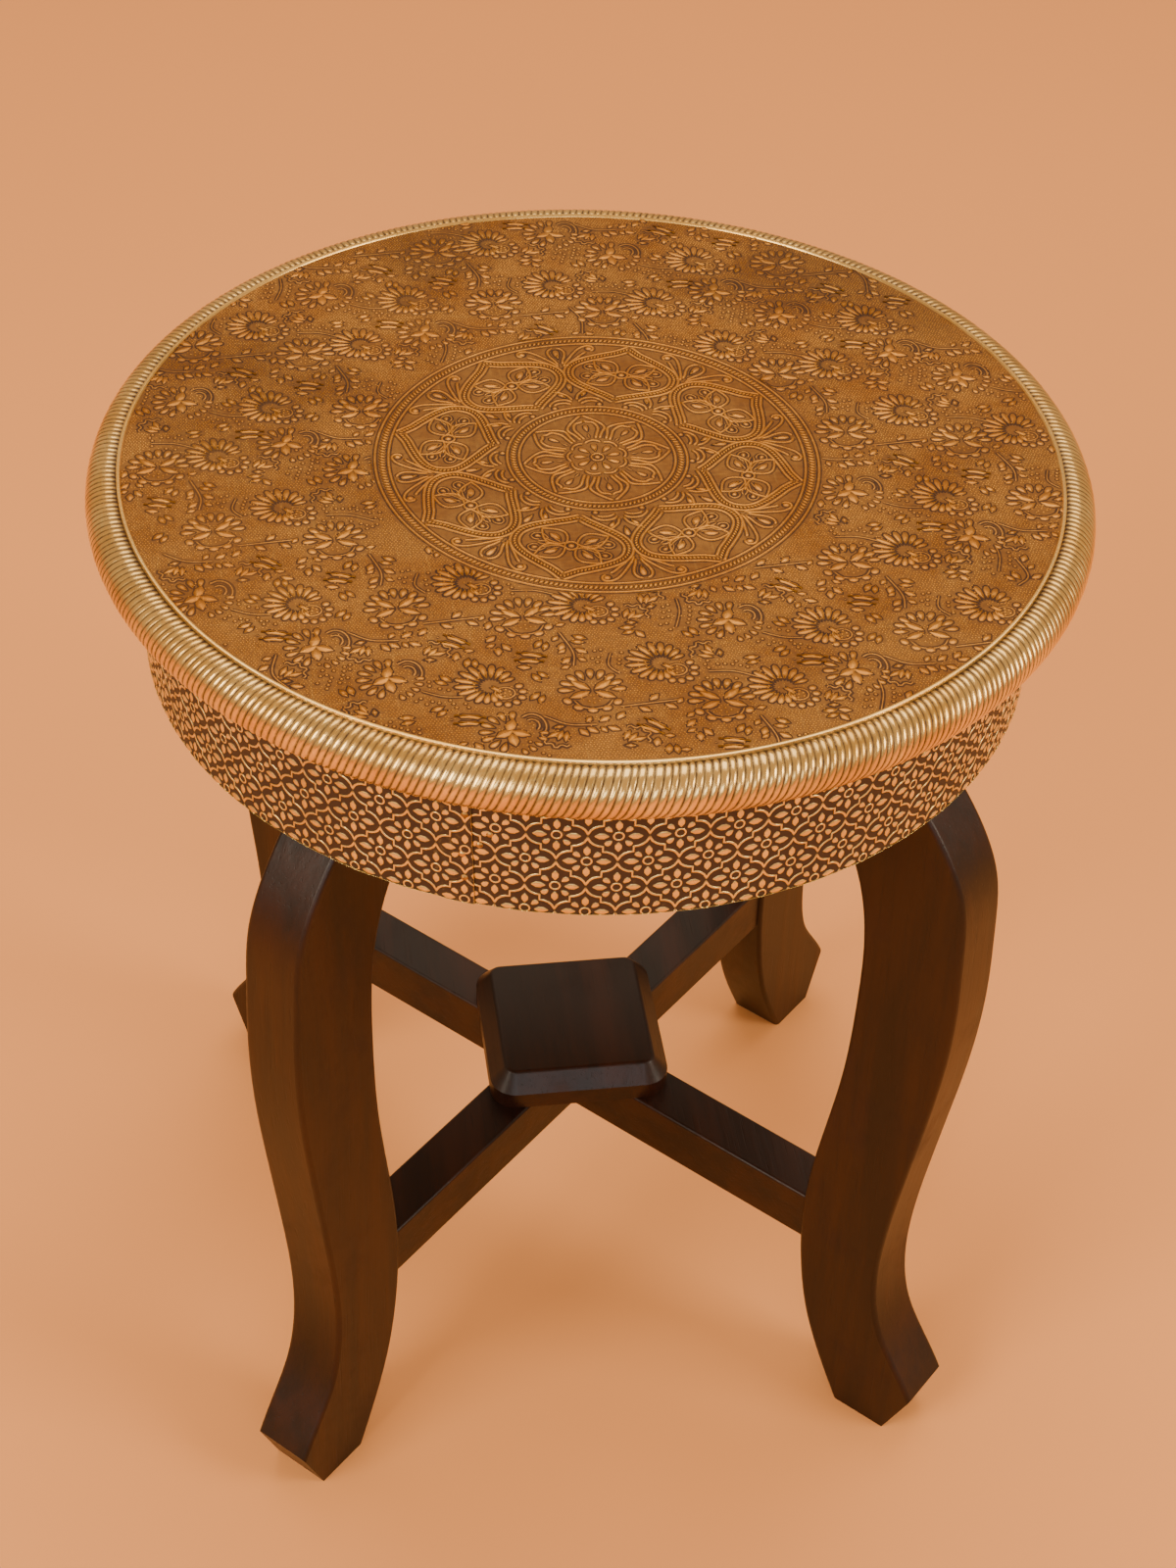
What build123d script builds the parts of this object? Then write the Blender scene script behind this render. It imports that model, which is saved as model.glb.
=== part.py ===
from build123d import *

import os
from math import acos, asin, cos, degrees, radians, sin, sqrt

# Brass-clad side table: a turned wooden top and a segmented wooden apron hoop, both covered in
# embossed sheet brass, on four sawn cabriole legs tied by a half-lapped cross stretcher.
# Millimetres. +Z is up, the origin is on the floor under the middle of the top, and the legs
# stand on the diagonals. The front of the table looks along -Y.

# ---- Driving dimensions ------------------------------------------------------------------
TABLE_HEIGHT = 462.0  # floor to the top of the brass lip
TABLE_RADIUS = 202.5  # outside of the rim
SHEET = 0.6  # thickness of all the sheet brass

# Top
BOARD_THICKNESS = 20.0
RIM_WIDTH = 12.5  # outside of the rim to the outside of the lip
LIP_RISE = 0.6  # how far the folded lip stands above the brass face
LIP_WIDTH = 2.4
GROOVE_WIDTH = 3.6  # from the lip to the rim bead, sheet included
GROOVE_DEPTH = 2.4

# Apron
RIM_OVERHANG = 19.5  # how far the rim stands out past the apron
APRON_DROP = 81.0  # top of the lip down to the folded hem
HOOP_THICKNESS = 12.4
HEM_WIDTH = 9.0
SEAM_ANGLE = -111.4  # where the ends of the apron sheet overlap
LAP_WIDTH = 8.0

# Legs: the sawn outline is (distance out from the apron, share of the height under the apron)
LEG_THICKNESS = 28.0
LEG_EASE = 2.0  # rounding of the long edges
LEG_SHOULDER = 1.5  # how far the leg stands out under the hoop
BRACKET_DEPTH = 58.0  # length of the flat top of the leg
OUTER_SWEEP = [
    (-4.5, 0.982),
    (7.0, 0.942),
    (15.5, 0.895),
    (19.3, 0.819),
    (20.6, 0.735),
    (19.0, 0.635),
    (13.6, 0.520),
    (7.6, 0.407),
    (3.4, 0.302),
    (4.2, 0.218),
    (10.0, 0.161),
    (19.0, 0.121),
]
TOE_TIP = (30.0, 0.075)
TOE = 18.0  # the foot stands flat from the heel to the toe
HEEL = -10.0
INNER_SWEEP = [
    (-19.5, 0.052),
    (-30.0, 0.123),
    (-36.8, 0.210),
    (-39.0, 0.310),
    (-34.4, 0.438),
    (-28.0, 0.564),
    (-25.8, 0.688),
    (-27.2, 0.795),
    (-35.5, 0.877),
    (-52.0, 0.953),
    (-65.5, 1.045),
]

# Stretcher
RAIL_WIDTH = 24.0
RAIL_HEIGHT = 27.5
RAIL_BOTTOM = 95.5
RAIL_EASE = 1.5
TENON_WIDTH = 12.0
TENON_HEIGHT = 19.0
TENON_LENGTH = 22.0  # past the narrowest point between the legs
MORTISE_END_GAP = 1.0  # glue space at the bottom of each mortise
CAP_SIDE = 84.0
CAP_THICKNESS = 17.0
CAP_CORNER_RADIUS = 12.0
CAP_BEVEL_WIDTH = 8.5
CAP_BEVEL_HEIGHT = 7.0
CAP_BEVEL_ROUND = 2.5

# Wood screws: shank diameter, head diameter, and the bite into the second piece of wood
HOOP_SCREW = (4.0, 8.0, 26.0)
LEG_TOP_SCREW = (4.0, 8.0, 30.0)
HOOP_TOP_SCREW = (3.5, 7.0, 25.0)
CAP_SCREW = (3.5, 7.0, 11.0)
SCREW_RECESS = 0.6  # heads are sunk this far below the wood
SLOT_WIDTH = 1.0
SLOT_DEPTH = 1.0
HOOP_SCREW_OFFSET = 8.0  # either side of the middle of the leg
HOOP_SCREW_EDGE = 14.0  # from the hoop's top and bottom edges
HOOP_TOP_SCREW_ANGLE = 20.0  # either side of the middle of a segment
LEG_TOP_SCREW_INSET = 26.0  # in from the leg's outer face
CAP_SCREW_RADIUS = 30.0

# Tacks and pins: shank diameter, head diameter, length
HEM_TACK = (1.5, 5.0, 9.0)
SEAM_PIN = (1.0, 2.8, 7.0)
TACK_HEAD_HEIGHT = 0.8
HEM_TACK_COUNT = 24
SEAM_PINS_ON_LAP = [(-0.9, 44.0), (-1.2, 24.5), (-0.9, 13.0)]  # degrees on, height above the hem
SEAM_PINS_BESIDE_LAP = [(0.8, 30.0), (2.0, 36.0)]

# ---- Levels and radii that follow --------------------------------------------------------
FACE_TOP = TABLE_HEIGHT - LIP_RISE
BOARD_TOP = FACE_TOP - SHEET
BOARD_BOTTOM = BOARD_TOP - BOARD_THICKNESS
BEAD_RADIUS = BOARD_THICKNESS / 2
BEAD_HEIGHT = BOARD_BOTTOM + BEAD_RADIUS
BEAD_CENTRE_RADIUS = TABLE_RADIUS - SHEET - BEAD_RADIUS
FACE_RADIUS = TABLE_RADIUS - RIM_WIDTH
GROOVE_INNER = FACE_RADIUS - SHEET
GROOVE_OUTER = FACE_RADIUS + GROOVE_WIDTH
GROOVE_FLOOR = BOARD_TOP - GROOVE_DEPTH
APRON_RADIUS = TABLE_RADIUS - RIM_OVERHANG
HEM_BOTTOM = TABLE_HEIGHT - APRON_DROP
HOOP_BOTTOM = HEM_BOTTOM + SHEET
HOOP_OUTER = APRON_RADIUS - SHEET
HOOP_INNER = HOOP_OUTER - HOOP_THICKNESS
RAIL_TOP = RAIL_BOTTOM + RAIL_HEIGHT
RAIL_MIDDLE = RAIL_BOTTOM + RAIL_HEIGHT / 2
TENON_TIP_RADIUS = APRON_RADIUS + min(out for out, _ in INNER_SWEEP[:-2]) + TENON_LENGTH

LEG_ANGLES = {
    "leg_front_right": -45.0,
    "leg_back_right": 45.0,
    "leg_back_left": 135.0,
    "leg_front_left": -135.0,
}
SEGMENT_ANGLES = {
    "apron_segment_front": -90.0,
    "apron_segment_right": 0.0,
    "apron_segment_back": 90.0,
    "apron_segment_left": 180.0,
}

nodes = {}


# ---- Helpers -----------------------------------------------------------------------------
def straight_runs(corners):
    """Lines in the upright XZ plane through a list of (radius, height)."""
    spots = [(r, 0, z) for r, z in corners]
    return [Line(start, end) for start, end in zip(spots, spots[1:])]


def section(corners):
    """Closed face in the XZ plane from a list of (radius, height)."""
    return make_face(straight_runs(corners + corners[:1]))


def turned(corners):
    """Solid of revolution about Z from a closed list of (radius, height)."""
    return revolve(section(corners), Axis.Z)


def ring(inner, outer, bottom, top):
    return turned([(inner, bottom), (outer, bottom), (outer, top), (inner, top)])


def bead_arc(radius, start_angle, end_angle):
    """Arc of the rounded edge, centred in the board's thickness, in the XZ plane."""

    def at(angle):
        return (
            BEAD_CENTRE_RADIUS + radius * cos(radians(angle)),
            0,
            BEAD_HEIGHT + radius * sin(radians(angle)),
        )

    return ThreePointArc(at(start_angle), at((start_angle + end_angle) / 2), at(end_angle))


def bead_angle_at(radius_out, section_radius):
    """Angle on the bead's section at which it reaches a given distance from the axis."""
    return degrees(acos((radius_out - BEAD_CENTRE_RADIUS) / section_radius))


def bead_height_at(radius_out, section_radius):
    angle = radians(bead_angle_at(radius_out, section_radius))
    return BEAD_HEIGHT + section_radius * sin(angle)


def leg_point(sweep_point):
    """Place in the leg's upright plane of a point of its sawn outline."""
    out, share = sweep_point
    return (APRON_RADIUS + out, 0, share * HEM_BOTTOM)


def screw_size(fastener, first_wood):
    """Shank, head and length of a screw that passes through a first piece of wood."""
    shank, head, bite = fastener
    return (shank, head, first_wood - SCREW_RECESS + bite)


def wood_screw(size):
    """Countersunk slotted screw that points down, with the top of its head at the origin."""
    return screw_blank(size) - Box(size[1], SLOT_WIDTH, 2 * SLOT_DEPTH)


def screw_blank(size):
    shank, head, length = size
    cone = (head - shank) / 2
    tip_start = shank - length
    return turned([(0, 0), (head / 2, 0), (shank / 2, -cone), (shank / 2, tip_start), (0, -length)])


def screw_hole(size):
    """What a sunk screw takes out of the wood, open above its head."""
    above = Cylinder(size[1] / 2, 2 * SCREW_RECESS, align=(Align.CENTER, Align.CENTER, Align.MIN))
    return screw_blank(size) + above


def tack_shank(size):
    """Shank that points down from the origin, and the hole that it makes."""
    shank, _, length = size
    return turned([(0, 0), (shank / 2, 0), (shank / 2, 2 * shank - length), (0, -length)])


def domed_tack(size):
    """Tack that points down, with the underside of its domed head at the origin."""
    shank, head, length = size
    rim = head / 2
    ball = (rim**2 + TACK_HEAD_HEIGHT**2) / (2 * TACK_HEAD_HEIGHT)
    half_turn = asin(rim / ball) / 2
    shoulder = (ball * sin(half_turn), 0, ball * cos(half_turn) - ball + TACK_HEAD_HEIGHT)
    dome = ThreePointArc((rim, 0, 0), shoulder, (0, 0, TACK_HEAD_HEIGHT))
    corners = [
        (0, TACK_HEAD_HEIGHT),
        (0, -length),
        (shank / 2, 2 * shank - length),
        (shank / 2, 0),
        (rim, 0),
    ]
    return revolve(make_face(straight_runs(corners) + [dome]), Axis.Z)


def driven_inward(radius, angle, offset, height):
    """Place of a fastener driven level towards the axis, offset sideways from a leg's plane."""
    return Rot(0, 0, angle) * Pos(radius, offset, height) * Rot(0, 90, 0)


def driven_up(radius, angle, height):
    return Rot(0, 0, angle) * Pos(radius, 0, height) * Rot(180, 0, 0)


def driven_down(radius, angle, height):
    return Rot(0, 0, angle) * Pos(radius, 0, height)


def minus_each(body, tools):
    for tool in tools:
        body -= tool
    return body


def group(solids):
    return Compound(children=[s.solid() for s in solids])


# ---- Fastener places ---------------------------------------------------------------------
hoop_screw_heights = [HOOP_BOTTOM + HOOP_SCREW_EDGE, BOARD_BOTTOM - HOOP_SCREW_EDGE]
hoop_screw_head_radius = sqrt(HOOP_OUTER**2 - HOOP_SCREW_OFFSET**2) - SCREW_RECESS
hoop_screw_places = [
    driven_inward(hoop_screw_head_radius, angle, side * HOOP_SCREW_OFFSET, height)
    for angle in LEG_ANGLES.values()
    for side in (-1, 1)
    for height in hoop_screw_heights
]
leg_top_screw_places = [
    driven_down(HOOP_INNER - LEG_TOP_SCREW_INSET, angle, BOARD_TOP - SCREW_RECESS)
    for angle in LEG_ANGLES.values()
]
hoop_top_screw_places = [
    driven_down(HOOP_INNER + HOOP_THICKNESS / 2, angle + side, BOARD_TOP - SCREW_RECESS)
    for angle in SEGMENT_ANGLES.values()
    for side in (-HOOP_TOP_SCREW_ANGLE, HOOP_TOP_SCREW_ANGLE)
]
cap_screw_places = [
    driven_up(CAP_SCREW_RADIUS, angle, RAIL_BOTTOM + SCREW_RECESS) for angle in LEG_ANGLES.values()
]
tack_step = 360 / HEM_TACK_COUNT
hem_tack_places = [
    driven_up(APRON_RADIUS - HEM_WIDTH / 2, (i + 0.5) * tack_step, HEM_BOTTOM)
    for i in range(HEM_TACK_COUNT)
]
seam_pin_places = [
    driven_inward(APRON_RADIUS + SHEET, SEAM_ANGLE + turn, 0, HEM_BOTTOM + above)
    for turn, above in SEAM_PINS_ON_LAP
] + [
    driven_inward(APRON_RADIUS, SEAM_ANGLE + turn, 0, HEM_BOTTOM + above)
    for turn, above in SEAM_PINS_BESIDE_LAP
]

hoop_screw = screw_size(HOOP_SCREW, HOOP_THICKNESS)
leg_top_screw = screw_size(LEG_TOP_SCREW, BOARD_THICKNESS)
hoop_top_screw = screw_size(HOOP_TOP_SCREW, BOARD_THICKNESS)
cap_screw = screw_size(CAP_SCREW, RAIL_HEIGHT)

hoop_screw_holes = [place * screw_hole(hoop_screw) for place in hoop_screw_places]
leg_top_screw_holes = [place * screw_hole(leg_top_screw) for place in leg_top_screw_places]
hoop_top_screw_holes = [place * screw_hole(hoop_top_screw) for place in hoop_top_screw_places]
cap_screw_holes = [place * screw_hole(cap_screw) for place in cap_screw_places]
hem_tack_holes = [place * tack_shank(HEM_TACK) for place in hem_tack_places]
seam_pin_holes = [place * tack_shank(SEAM_PIN) for place in seam_pin_places]


# ---- Top ---------------------------------------------------------------------------------
def make_top_board():
    """Turned disc with a half-round edge and a groove in its face for the edges of the brass."""
    arc = bead_arc(BEAD_RADIUS, bead_angle_at(GROOVE_OUTER, BEAD_RADIUS), -90)
    shoulder = (GROOVE_OUTER, bead_height_at(GROOVE_OUTER, BEAD_RADIUS))
    corners = [
        (BEAD_CENTRE_RADIUS, BOARD_BOTTOM),
        (0, BOARD_BOTTOM),
        (0, BOARD_TOP),
        (GROOVE_INNER, BOARD_TOP),
        (GROOVE_INNER, GROOVE_FLOOR),
        (GROOVE_OUTER, GROOVE_FLOOR),
        shoulder,
    ]
    board = revolve(make_face(straight_runs(corners) + [arc]), Axis.Z)
    return minus_each(board, leg_top_screw_holes + hoop_top_screw_holes)


def make_brass_top_sheet():
    """Flat brass face with a folded lip, its edge turned down into the groove."""
    lip_inner = FACE_RADIUS - LIP_WIDTH
    return turned(
        [
            (0, BOARD_TOP),
            (0, FACE_TOP),
            (lip_inner, FACE_TOP),
            (lip_inner + LIP_RISE, TABLE_HEIGHT),
            (FACE_RADIUS, TABLE_HEIGHT),
            (FACE_RADIUS, GROOVE_FLOOR),
            (GROOVE_INNER, GROOVE_FLOOR),
            (GROOVE_INNER, BOARD_TOP),
        ]
    )


def make_brass_rim_band():
    """Sheet worked over the rounded edge, from the groove to the top of the apron sheet."""
    outer = BEAD_RADIUS + SHEET
    outer_arc = bead_arc(outer, bead_angle_at(GROOVE_OUTER, outer), -90)
    inner_arc = bead_arc(BEAD_RADIUS, bead_angle_at(GROOVE_OUTER, BEAD_RADIUS), -90)
    lead_in = GROOVE_OUTER - SHEET
    top_edge = [
        (GROOVE_OUTER, bead_height_at(GROOVE_OUTER, outer)),
        (lead_in, bead_height_at(GROOVE_OUTER, outer)),
        (lead_in, GROOVE_FLOOR),
        (GROOVE_OUTER, GROOVE_FLOOR),
        (GROOVE_OUTER, bead_height_at(GROOVE_OUTER, BEAD_RADIUS)),
    ]
    under_edge = [
        (BEAD_CENTRE_RADIUS, BOARD_BOTTOM),
        (APRON_RADIUS, BOARD_BOTTOM),
        (APRON_RADIUS, BOARD_BOTTOM - SHEET),
        (BEAD_CENTRE_RADIUS, BOARD_BOTTOM - SHEET),
    ]
    runs = straight_runs(top_edge) + straight_runs(under_edge)
    return revolve(make_face(runs + [outer_arc, inner_arc]), Axis.Z)


# ---- Apron -------------------------------------------------------------------------------
def make_apron_segment(angle):
    """Quarter of the wooden hoop, sawn to the curve and butted at the legs."""
    outline = [
        (HOOP_INNER, HOOP_BOTTOM),
        (HOOP_OUTER, HOOP_BOTTOM),
        (HOOP_OUTER, BOARD_BOTTOM),
        (HOOP_INNER, BOARD_BOTTOM),
    ]
    quarter = Rot(0, 0, angle - 45) * revolve(section(outline), Axis.Z, revolution_arc=90)
    holes = hoop_screw_holes + hoop_top_screw_holes + hem_tack_holes + seam_pin_holes
    return minus_each(quarter, holes)


def make_brass_apron_band():
    """Embossed sheet round the hoop, folded under its bottom edge and lapped at the seam."""
    wall = ring(HOOP_OUTER, APRON_RADIUS, HEM_BOTTOM, BOARD_BOTTOM)
    hem = ring(APRON_RADIUS - HEM_WIDTH, APRON_RADIUS, HEM_BOTTOM, HOOP_BOTTOM)
    lap_turn = degrees(LAP_WIDTH / APRON_RADIUS)
    lap_top = BOARD_BOTTOM - SHEET
    lap_outline = [
        (APRON_RADIUS, HEM_BOTTOM),
        (APRON_RADIUS + SHEET, HEM_BOTTOM),
        (APRON_RADIUS + SHEET, lap_top),
        (APRON_RADIUS, lap_top),
    ]
    lap = revolve(section(lap_outline), Axis.Z, revolution_arc=lap_turn)
    band = wall + hem + Rot(0, 0, SEAM_ANGLE - lap_turn) * lap
    return minus_each(band, hem_tack_holes + seam_pin_holes)


# ---- Legs and stretcher ------------------------------------------------------------------
def make_leg_outline():
    """Face of one sawn cabriole leg in the XZ plane."""
    top_outer = (HOOP_INNER + LEG_SHOULDER, BOARD_BOTTOM)
    shoulder = (HOOP_INNER + LEG_SHOULDER, HOOP_BOTTOM)
    top_inner = (HOOP_INNER - BRACKET_DEPTH, BOARD_BOTTOM)
    toe_tip = leg_point(TOE_TIP)
    toe = (APRON_RADIUS + TOE, 0)
    heel = (APRON_RADIUS + HEEL, 0)
    outer_points = [leg_point(p) for p in OUTER_SWEEP]
    inner_points = [leg_point(p) for p in INNER_SWEEP]
    outer_curve = Spline((shoulder[0], 0, shoulder[1]), *outer_points, toe_tip)
    inner_curve = Spline((heel[0], 0, heel[1]), *inner_points, (top_inner[0], 0, top_inner[1]))
    top_runs = straight_runs([top_inner, top_outer, shoulder])
    foot_runs = straight_runs([(toe_tip[0], toe_tip[2]), toe, heel])
    return make_face(top_runs + foot_runs + [outer_curve, inner_curve])


def make_leg_blank(outline):
    """The leg sawn from its plank, with eased edges and its back fitted to the hoop."""
    leg = extrude(outline, LEG_THICKNESS / 2, dir=(0, 1, 0), both=True)
    side = LEG_THICKNESS / 2
    sawn_edges = [
        edge
        for edge in leg.edges()
        if edge.geom_type == GeomType.BSPLINE and abs(abs(edge.center().Y) - side) < 0.01
    ]
    leg = fillet(sawn_edges, LEG_EASE)
    return leg - ring(HOOP_INNER, APRON_RADIUS, HOOP_BOTTOM, BOARD_BOTTOM)


def make_rail(angle, notch_from, notch_to, leg_outline):
    """Cross rail on one diagonal, halved at the middle, its shoulders scribed to the legs."""
    length = 2 * TENON_TIP_RADIUS
    rail = Pos(0, 0, RAIL_MIDDLE) * Box(length, RAIL_WIDTH, RAIL_HEIGHT)
    rail = fillet(rail.edges().filter_by(Axis.X), RAIL_EASE)
    scribe = extrude(leg_outline, RAIL_WIDTH, dir=(0, 1, 0), both=True)
    for turn in (0, 180):
        rail -= Rot(0, 0, turn) * scribe
    rail = min(rail.solids(), key=lambda piece: piece.center().length)
    rail += Pos(0, 0, RAIL_MIDDLE) * Box(length, TENON_WIDTH, TENON_HEIGHT)
    notch_height = notch_to - notch_from
    rail -= Pos(0, 0, notch_from + notch_height / 2) * Box(RAIL_WIDTH, RAIL_WIDTH, notch_height)
    return minus_each(Rot(0, 0, angle) * rail, cap_screw_holes)


def make_leg(angle, leg_blank):
    mortise_tip = TENON_TIP_RADIUS + MORTISE_END_GAP
    mortise = Pos(mortise_tip / 2, 0, RAIL_MIDDLE) * Box(mortise_tip, TENON_WIDTH, TENON_HEIGHT)
    leg = Rot(0, 0, angle) * (leg_blank - mortise)
    return minus_each(leg, hoop_screw_holes + leg_top_screw_holes)


def make_cap_block():
    """Square block that covers the crossing, with rounded corners and a bevelled top."""
    block = Box(CAP_SIDE, CAP_SIDE, CAP_THICKNESS, align=(Align.CENTER, Align.CENTER, Align.MIN))
    block = fillet(block.edges().filter_by(Axis.Z), CAP_CORNER_RADIUS)
    top_loop = block.faces().sort_by(Axis.Z)[-1].edges()
    top_face = block.faces().sort_by(Axis.Z)[-1]
    block = chamfer(top_loop, CAP_BEVEL_HEIGHT, CAP_BEVEL_WIDTH, reference=top_face)
    block = fillet(block.faces().sort_by(Axis.Z)[-1].edges(), CAP_BEVEL_ROUND)
    return minus_each(Pos(0, 0, RAIL_TOP) * block, cap_screw_holes)


# ---- Assembly ----------------------------------------------------------------------------
nodes["top_board"] = make_top_board()
nodes["brass_top_sheet"] = make_brass_top_sheet()
nodes["brass_rim_band"] = make_brass_rim_band()
for name, angle in SEGMENT_ANGLES.items():
    nodes[name] = make_apron_segment(angle)
nodes["brass_apron_band"] = make_brass_apron_band()

leg_outline = make_leg_outline()
leg_blank = make_leg_blank(leg_outline)
for name, angle in LEG_ANGLES.items():
    nodes[name] = make_leg(angle, leg_blank)
nodes["stretcher_rail_lower"] = make_rail(-45, RAIL_MIDDLE, RAIL_TOP, leg_outline)
nodes["stretcher_rail_upper"] = make_rail(45, RAIL_BOTTOM, RAIL_MIDDLE, leg_outline)
nodes["stretcher_cap_block"] = make_cap_block()

nodes["hoop_screws"] = group([place * wood_screw(hoop_screw) for place in hoop_screw_places])
nodes["leg_top_screws"] = group([p * wood_screw(leg_top_screw) for p in leg_top_screw_places])
nodes["hoop_top_screws"] = group([p * wood_screw(hoop_top_screw) for p in hoop_top_screw_places])
nodes["cap_screws"] = group([place * wood_screw(cap_screw) for place in cap_screw_places])
nodes["hem_tacks"] = group([place * domed_tack(HEM_TACK) for place in hem_tack_places])
nodes["seam_pins"] = group([place * domed_tack(SEAM_PIN) for place in seam_pin_places])

os.makedirs("parts", exist_ok=True)
for name, shape in nodes.items():
    export_step(shape, f"parts/{name}.step")
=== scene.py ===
"""Looks of the brass-clad side table: embossed sheet brass over a carcass on four dark stained legs."""

import logging
import math
from collections.abc import Callable, Iterable, Sequence
from dataclasses import dataclass, field
from enum import Enum

import bmesh
import bpy
import numpy as np
from mathutils import Matrix, Vector


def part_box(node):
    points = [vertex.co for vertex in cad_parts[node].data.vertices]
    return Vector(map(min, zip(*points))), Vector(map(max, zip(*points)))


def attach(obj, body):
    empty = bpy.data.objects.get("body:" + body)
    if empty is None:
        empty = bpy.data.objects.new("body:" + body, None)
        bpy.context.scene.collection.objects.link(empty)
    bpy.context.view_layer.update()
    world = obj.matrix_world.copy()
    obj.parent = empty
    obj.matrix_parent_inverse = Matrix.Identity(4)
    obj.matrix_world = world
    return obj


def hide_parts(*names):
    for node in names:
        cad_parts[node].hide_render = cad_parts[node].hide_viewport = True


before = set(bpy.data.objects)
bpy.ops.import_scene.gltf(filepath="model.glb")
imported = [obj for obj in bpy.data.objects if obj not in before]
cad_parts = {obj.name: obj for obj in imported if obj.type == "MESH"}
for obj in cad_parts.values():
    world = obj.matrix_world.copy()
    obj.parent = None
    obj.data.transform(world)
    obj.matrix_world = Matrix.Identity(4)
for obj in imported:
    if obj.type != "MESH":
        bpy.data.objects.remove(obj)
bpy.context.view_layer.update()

log = logging.getLogger("side_table")

MM = 0.001
BODY = "root"
TONE = "tone"  # attribute on every brass piece: 0 where patina stays, 1 where it is rubbed bright
SUNK = 0.03  # every raised shape starts this far, in millimetres, below its sheet
CREVICE = 0.1  # height of the dark line at the foot of a raised shape
FOOT_TONE = 0.12  # tone where a raised shape leaves its sheet
SKIRT = 0.9  # width of the dark line at the foot, where nothing else is asked for
CREASE = math.radians(40)  # edges sharper than this stay sharp in shading
SQUEEZE = 0.03  # share that is left of what reaches past the field's edges
WELD = 1e-6  # corners closer than this, in metres, are one corner
Point = tuple[float, float]
Path = list[Point]
Colour = tuple[float, float, float]
Wrap = Callable[[np.ndarray], np.ndarray]
Taper = Callable[[float], float]
Socket = bpy.types.NodeSocket
Object = bpy.types.Object


# ---- Small shapes kept as arrays -------------------------------------------------------------


@dataclass(frozen=True)
class Shape:
    """A small mesh as plain arrays in millimetres, x and y along the sheet and z out of it.

    points holds the places, tones one value for each, corners the face corners one after
    another, and sizes how many corners each face has.
    """

    points: np.ndarray
    tones: np.ndarray
    corners: np.ndarray
    sizes: np.ndarray

    def placed(
        self, x: float = 0.0, y: float = 0.0, turn: float = 0.0, scale: Sequence[float] = (1, 1, 1)
    ) -> "Shape":
        """A scaled copy, turned by some degrees about its origin and then moved.

        Args:
            x, y: where the copy's origin goes.
            turn: degrees counter-clockwise.
            scale: factors along x, y and z; a negative one mirrors the copy.

        Returns:
            The new shape, with its faces still pointing outwards.
        """
        angle = math.radians(turn)
        rotate = np.array([[math.cos(angle), math.sin(angle)], [-math.sin(angle), math.cos(angle)]])
        points = self.points * np.array(scale, float)
        points[:, :2] = points[:, :2] @ rotate + (x, y)
        if scale[0] * scale[1] * scale[2] < 0:
            return Shape(points, self.tones, self.corners[::-1], self.sizes[::-1])
        return Shape(points, self.tones, self.corners, self.sizes)

    @staticmethod
    def joined(shapes: Iterable["Shape"]) -> "Shape":
        """One shape that holds all the given ones."""
        parts = list(shapes)
        starts = np.cumsum([0] + [len(part.points) for part in parts[:-1]])
        return Shape(
            np.concatenate([part.points for part in parts]),
            np.concatenate([part.tones for part in parts]),
            np.concatenate([part.corners + start for part, start in zip(parts, starts)]),
            np.concatenate([part.sizes for part in parts]),
        )

    def object(self, name: str, wrap: Wrap) -> Object:
        """Builds the shape as a smooth-shaded mesh object.

        Args:
            name: the piece's name.
            wrap: takes flat millimetre places to places on the table, still in millimetres.

        Returns:
            The new object, at the origin, with its place in its mesh.
        """
        mesh = bpy.data.meshes.new(name)
        mesh.vertices.add(len(self.points))
        mesh.vertices.foreach_set("co", (wrap(self.points) * MM).ravel())
        mesh.loops.add(len(self.corners))
        mesh.loops.foreach_set("vertex_index", self.corners)
        mesh.polygons.add(len(self.sizes))
        mesh.polygons.foreach_set("loop_start", np.cumsum(self.sizes) - self.sizes)
        mesh.polygons.foreach_set("use_smooth", np.ones(len(self.sizes), bool))
        mesh.update(calc_edges=True)
        mesh.validate()
        mesh.attributes.new(TONE, "FLOAT", "POINT").data.foreach_set("value", self.tones)
        obj = bpy.data.objects.new(name, mesh)
        bpy.context.scene.collection.objects.link(obj)
        return obj


# ---- The bench, where each small shape is modelled once --------------------------------------


def pointed(middle: float, loss: float) -> Taper:
    """A taper that is widest in the middle and narrows towards both ends."""
    return lambda along: middle - loss * along**2


def widening(middle: float, gain: float) -> Taper:
    """A taper that grows evenly from start to end, or shrinks for a negative gain."""
    return lambda along: middle + gain * along


def slice_of(degrees: float, count: int) -> int:
    """Which of some equal slices round the table an angle is in."""
    return int((degrees + 180) * count / 360) % count


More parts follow.
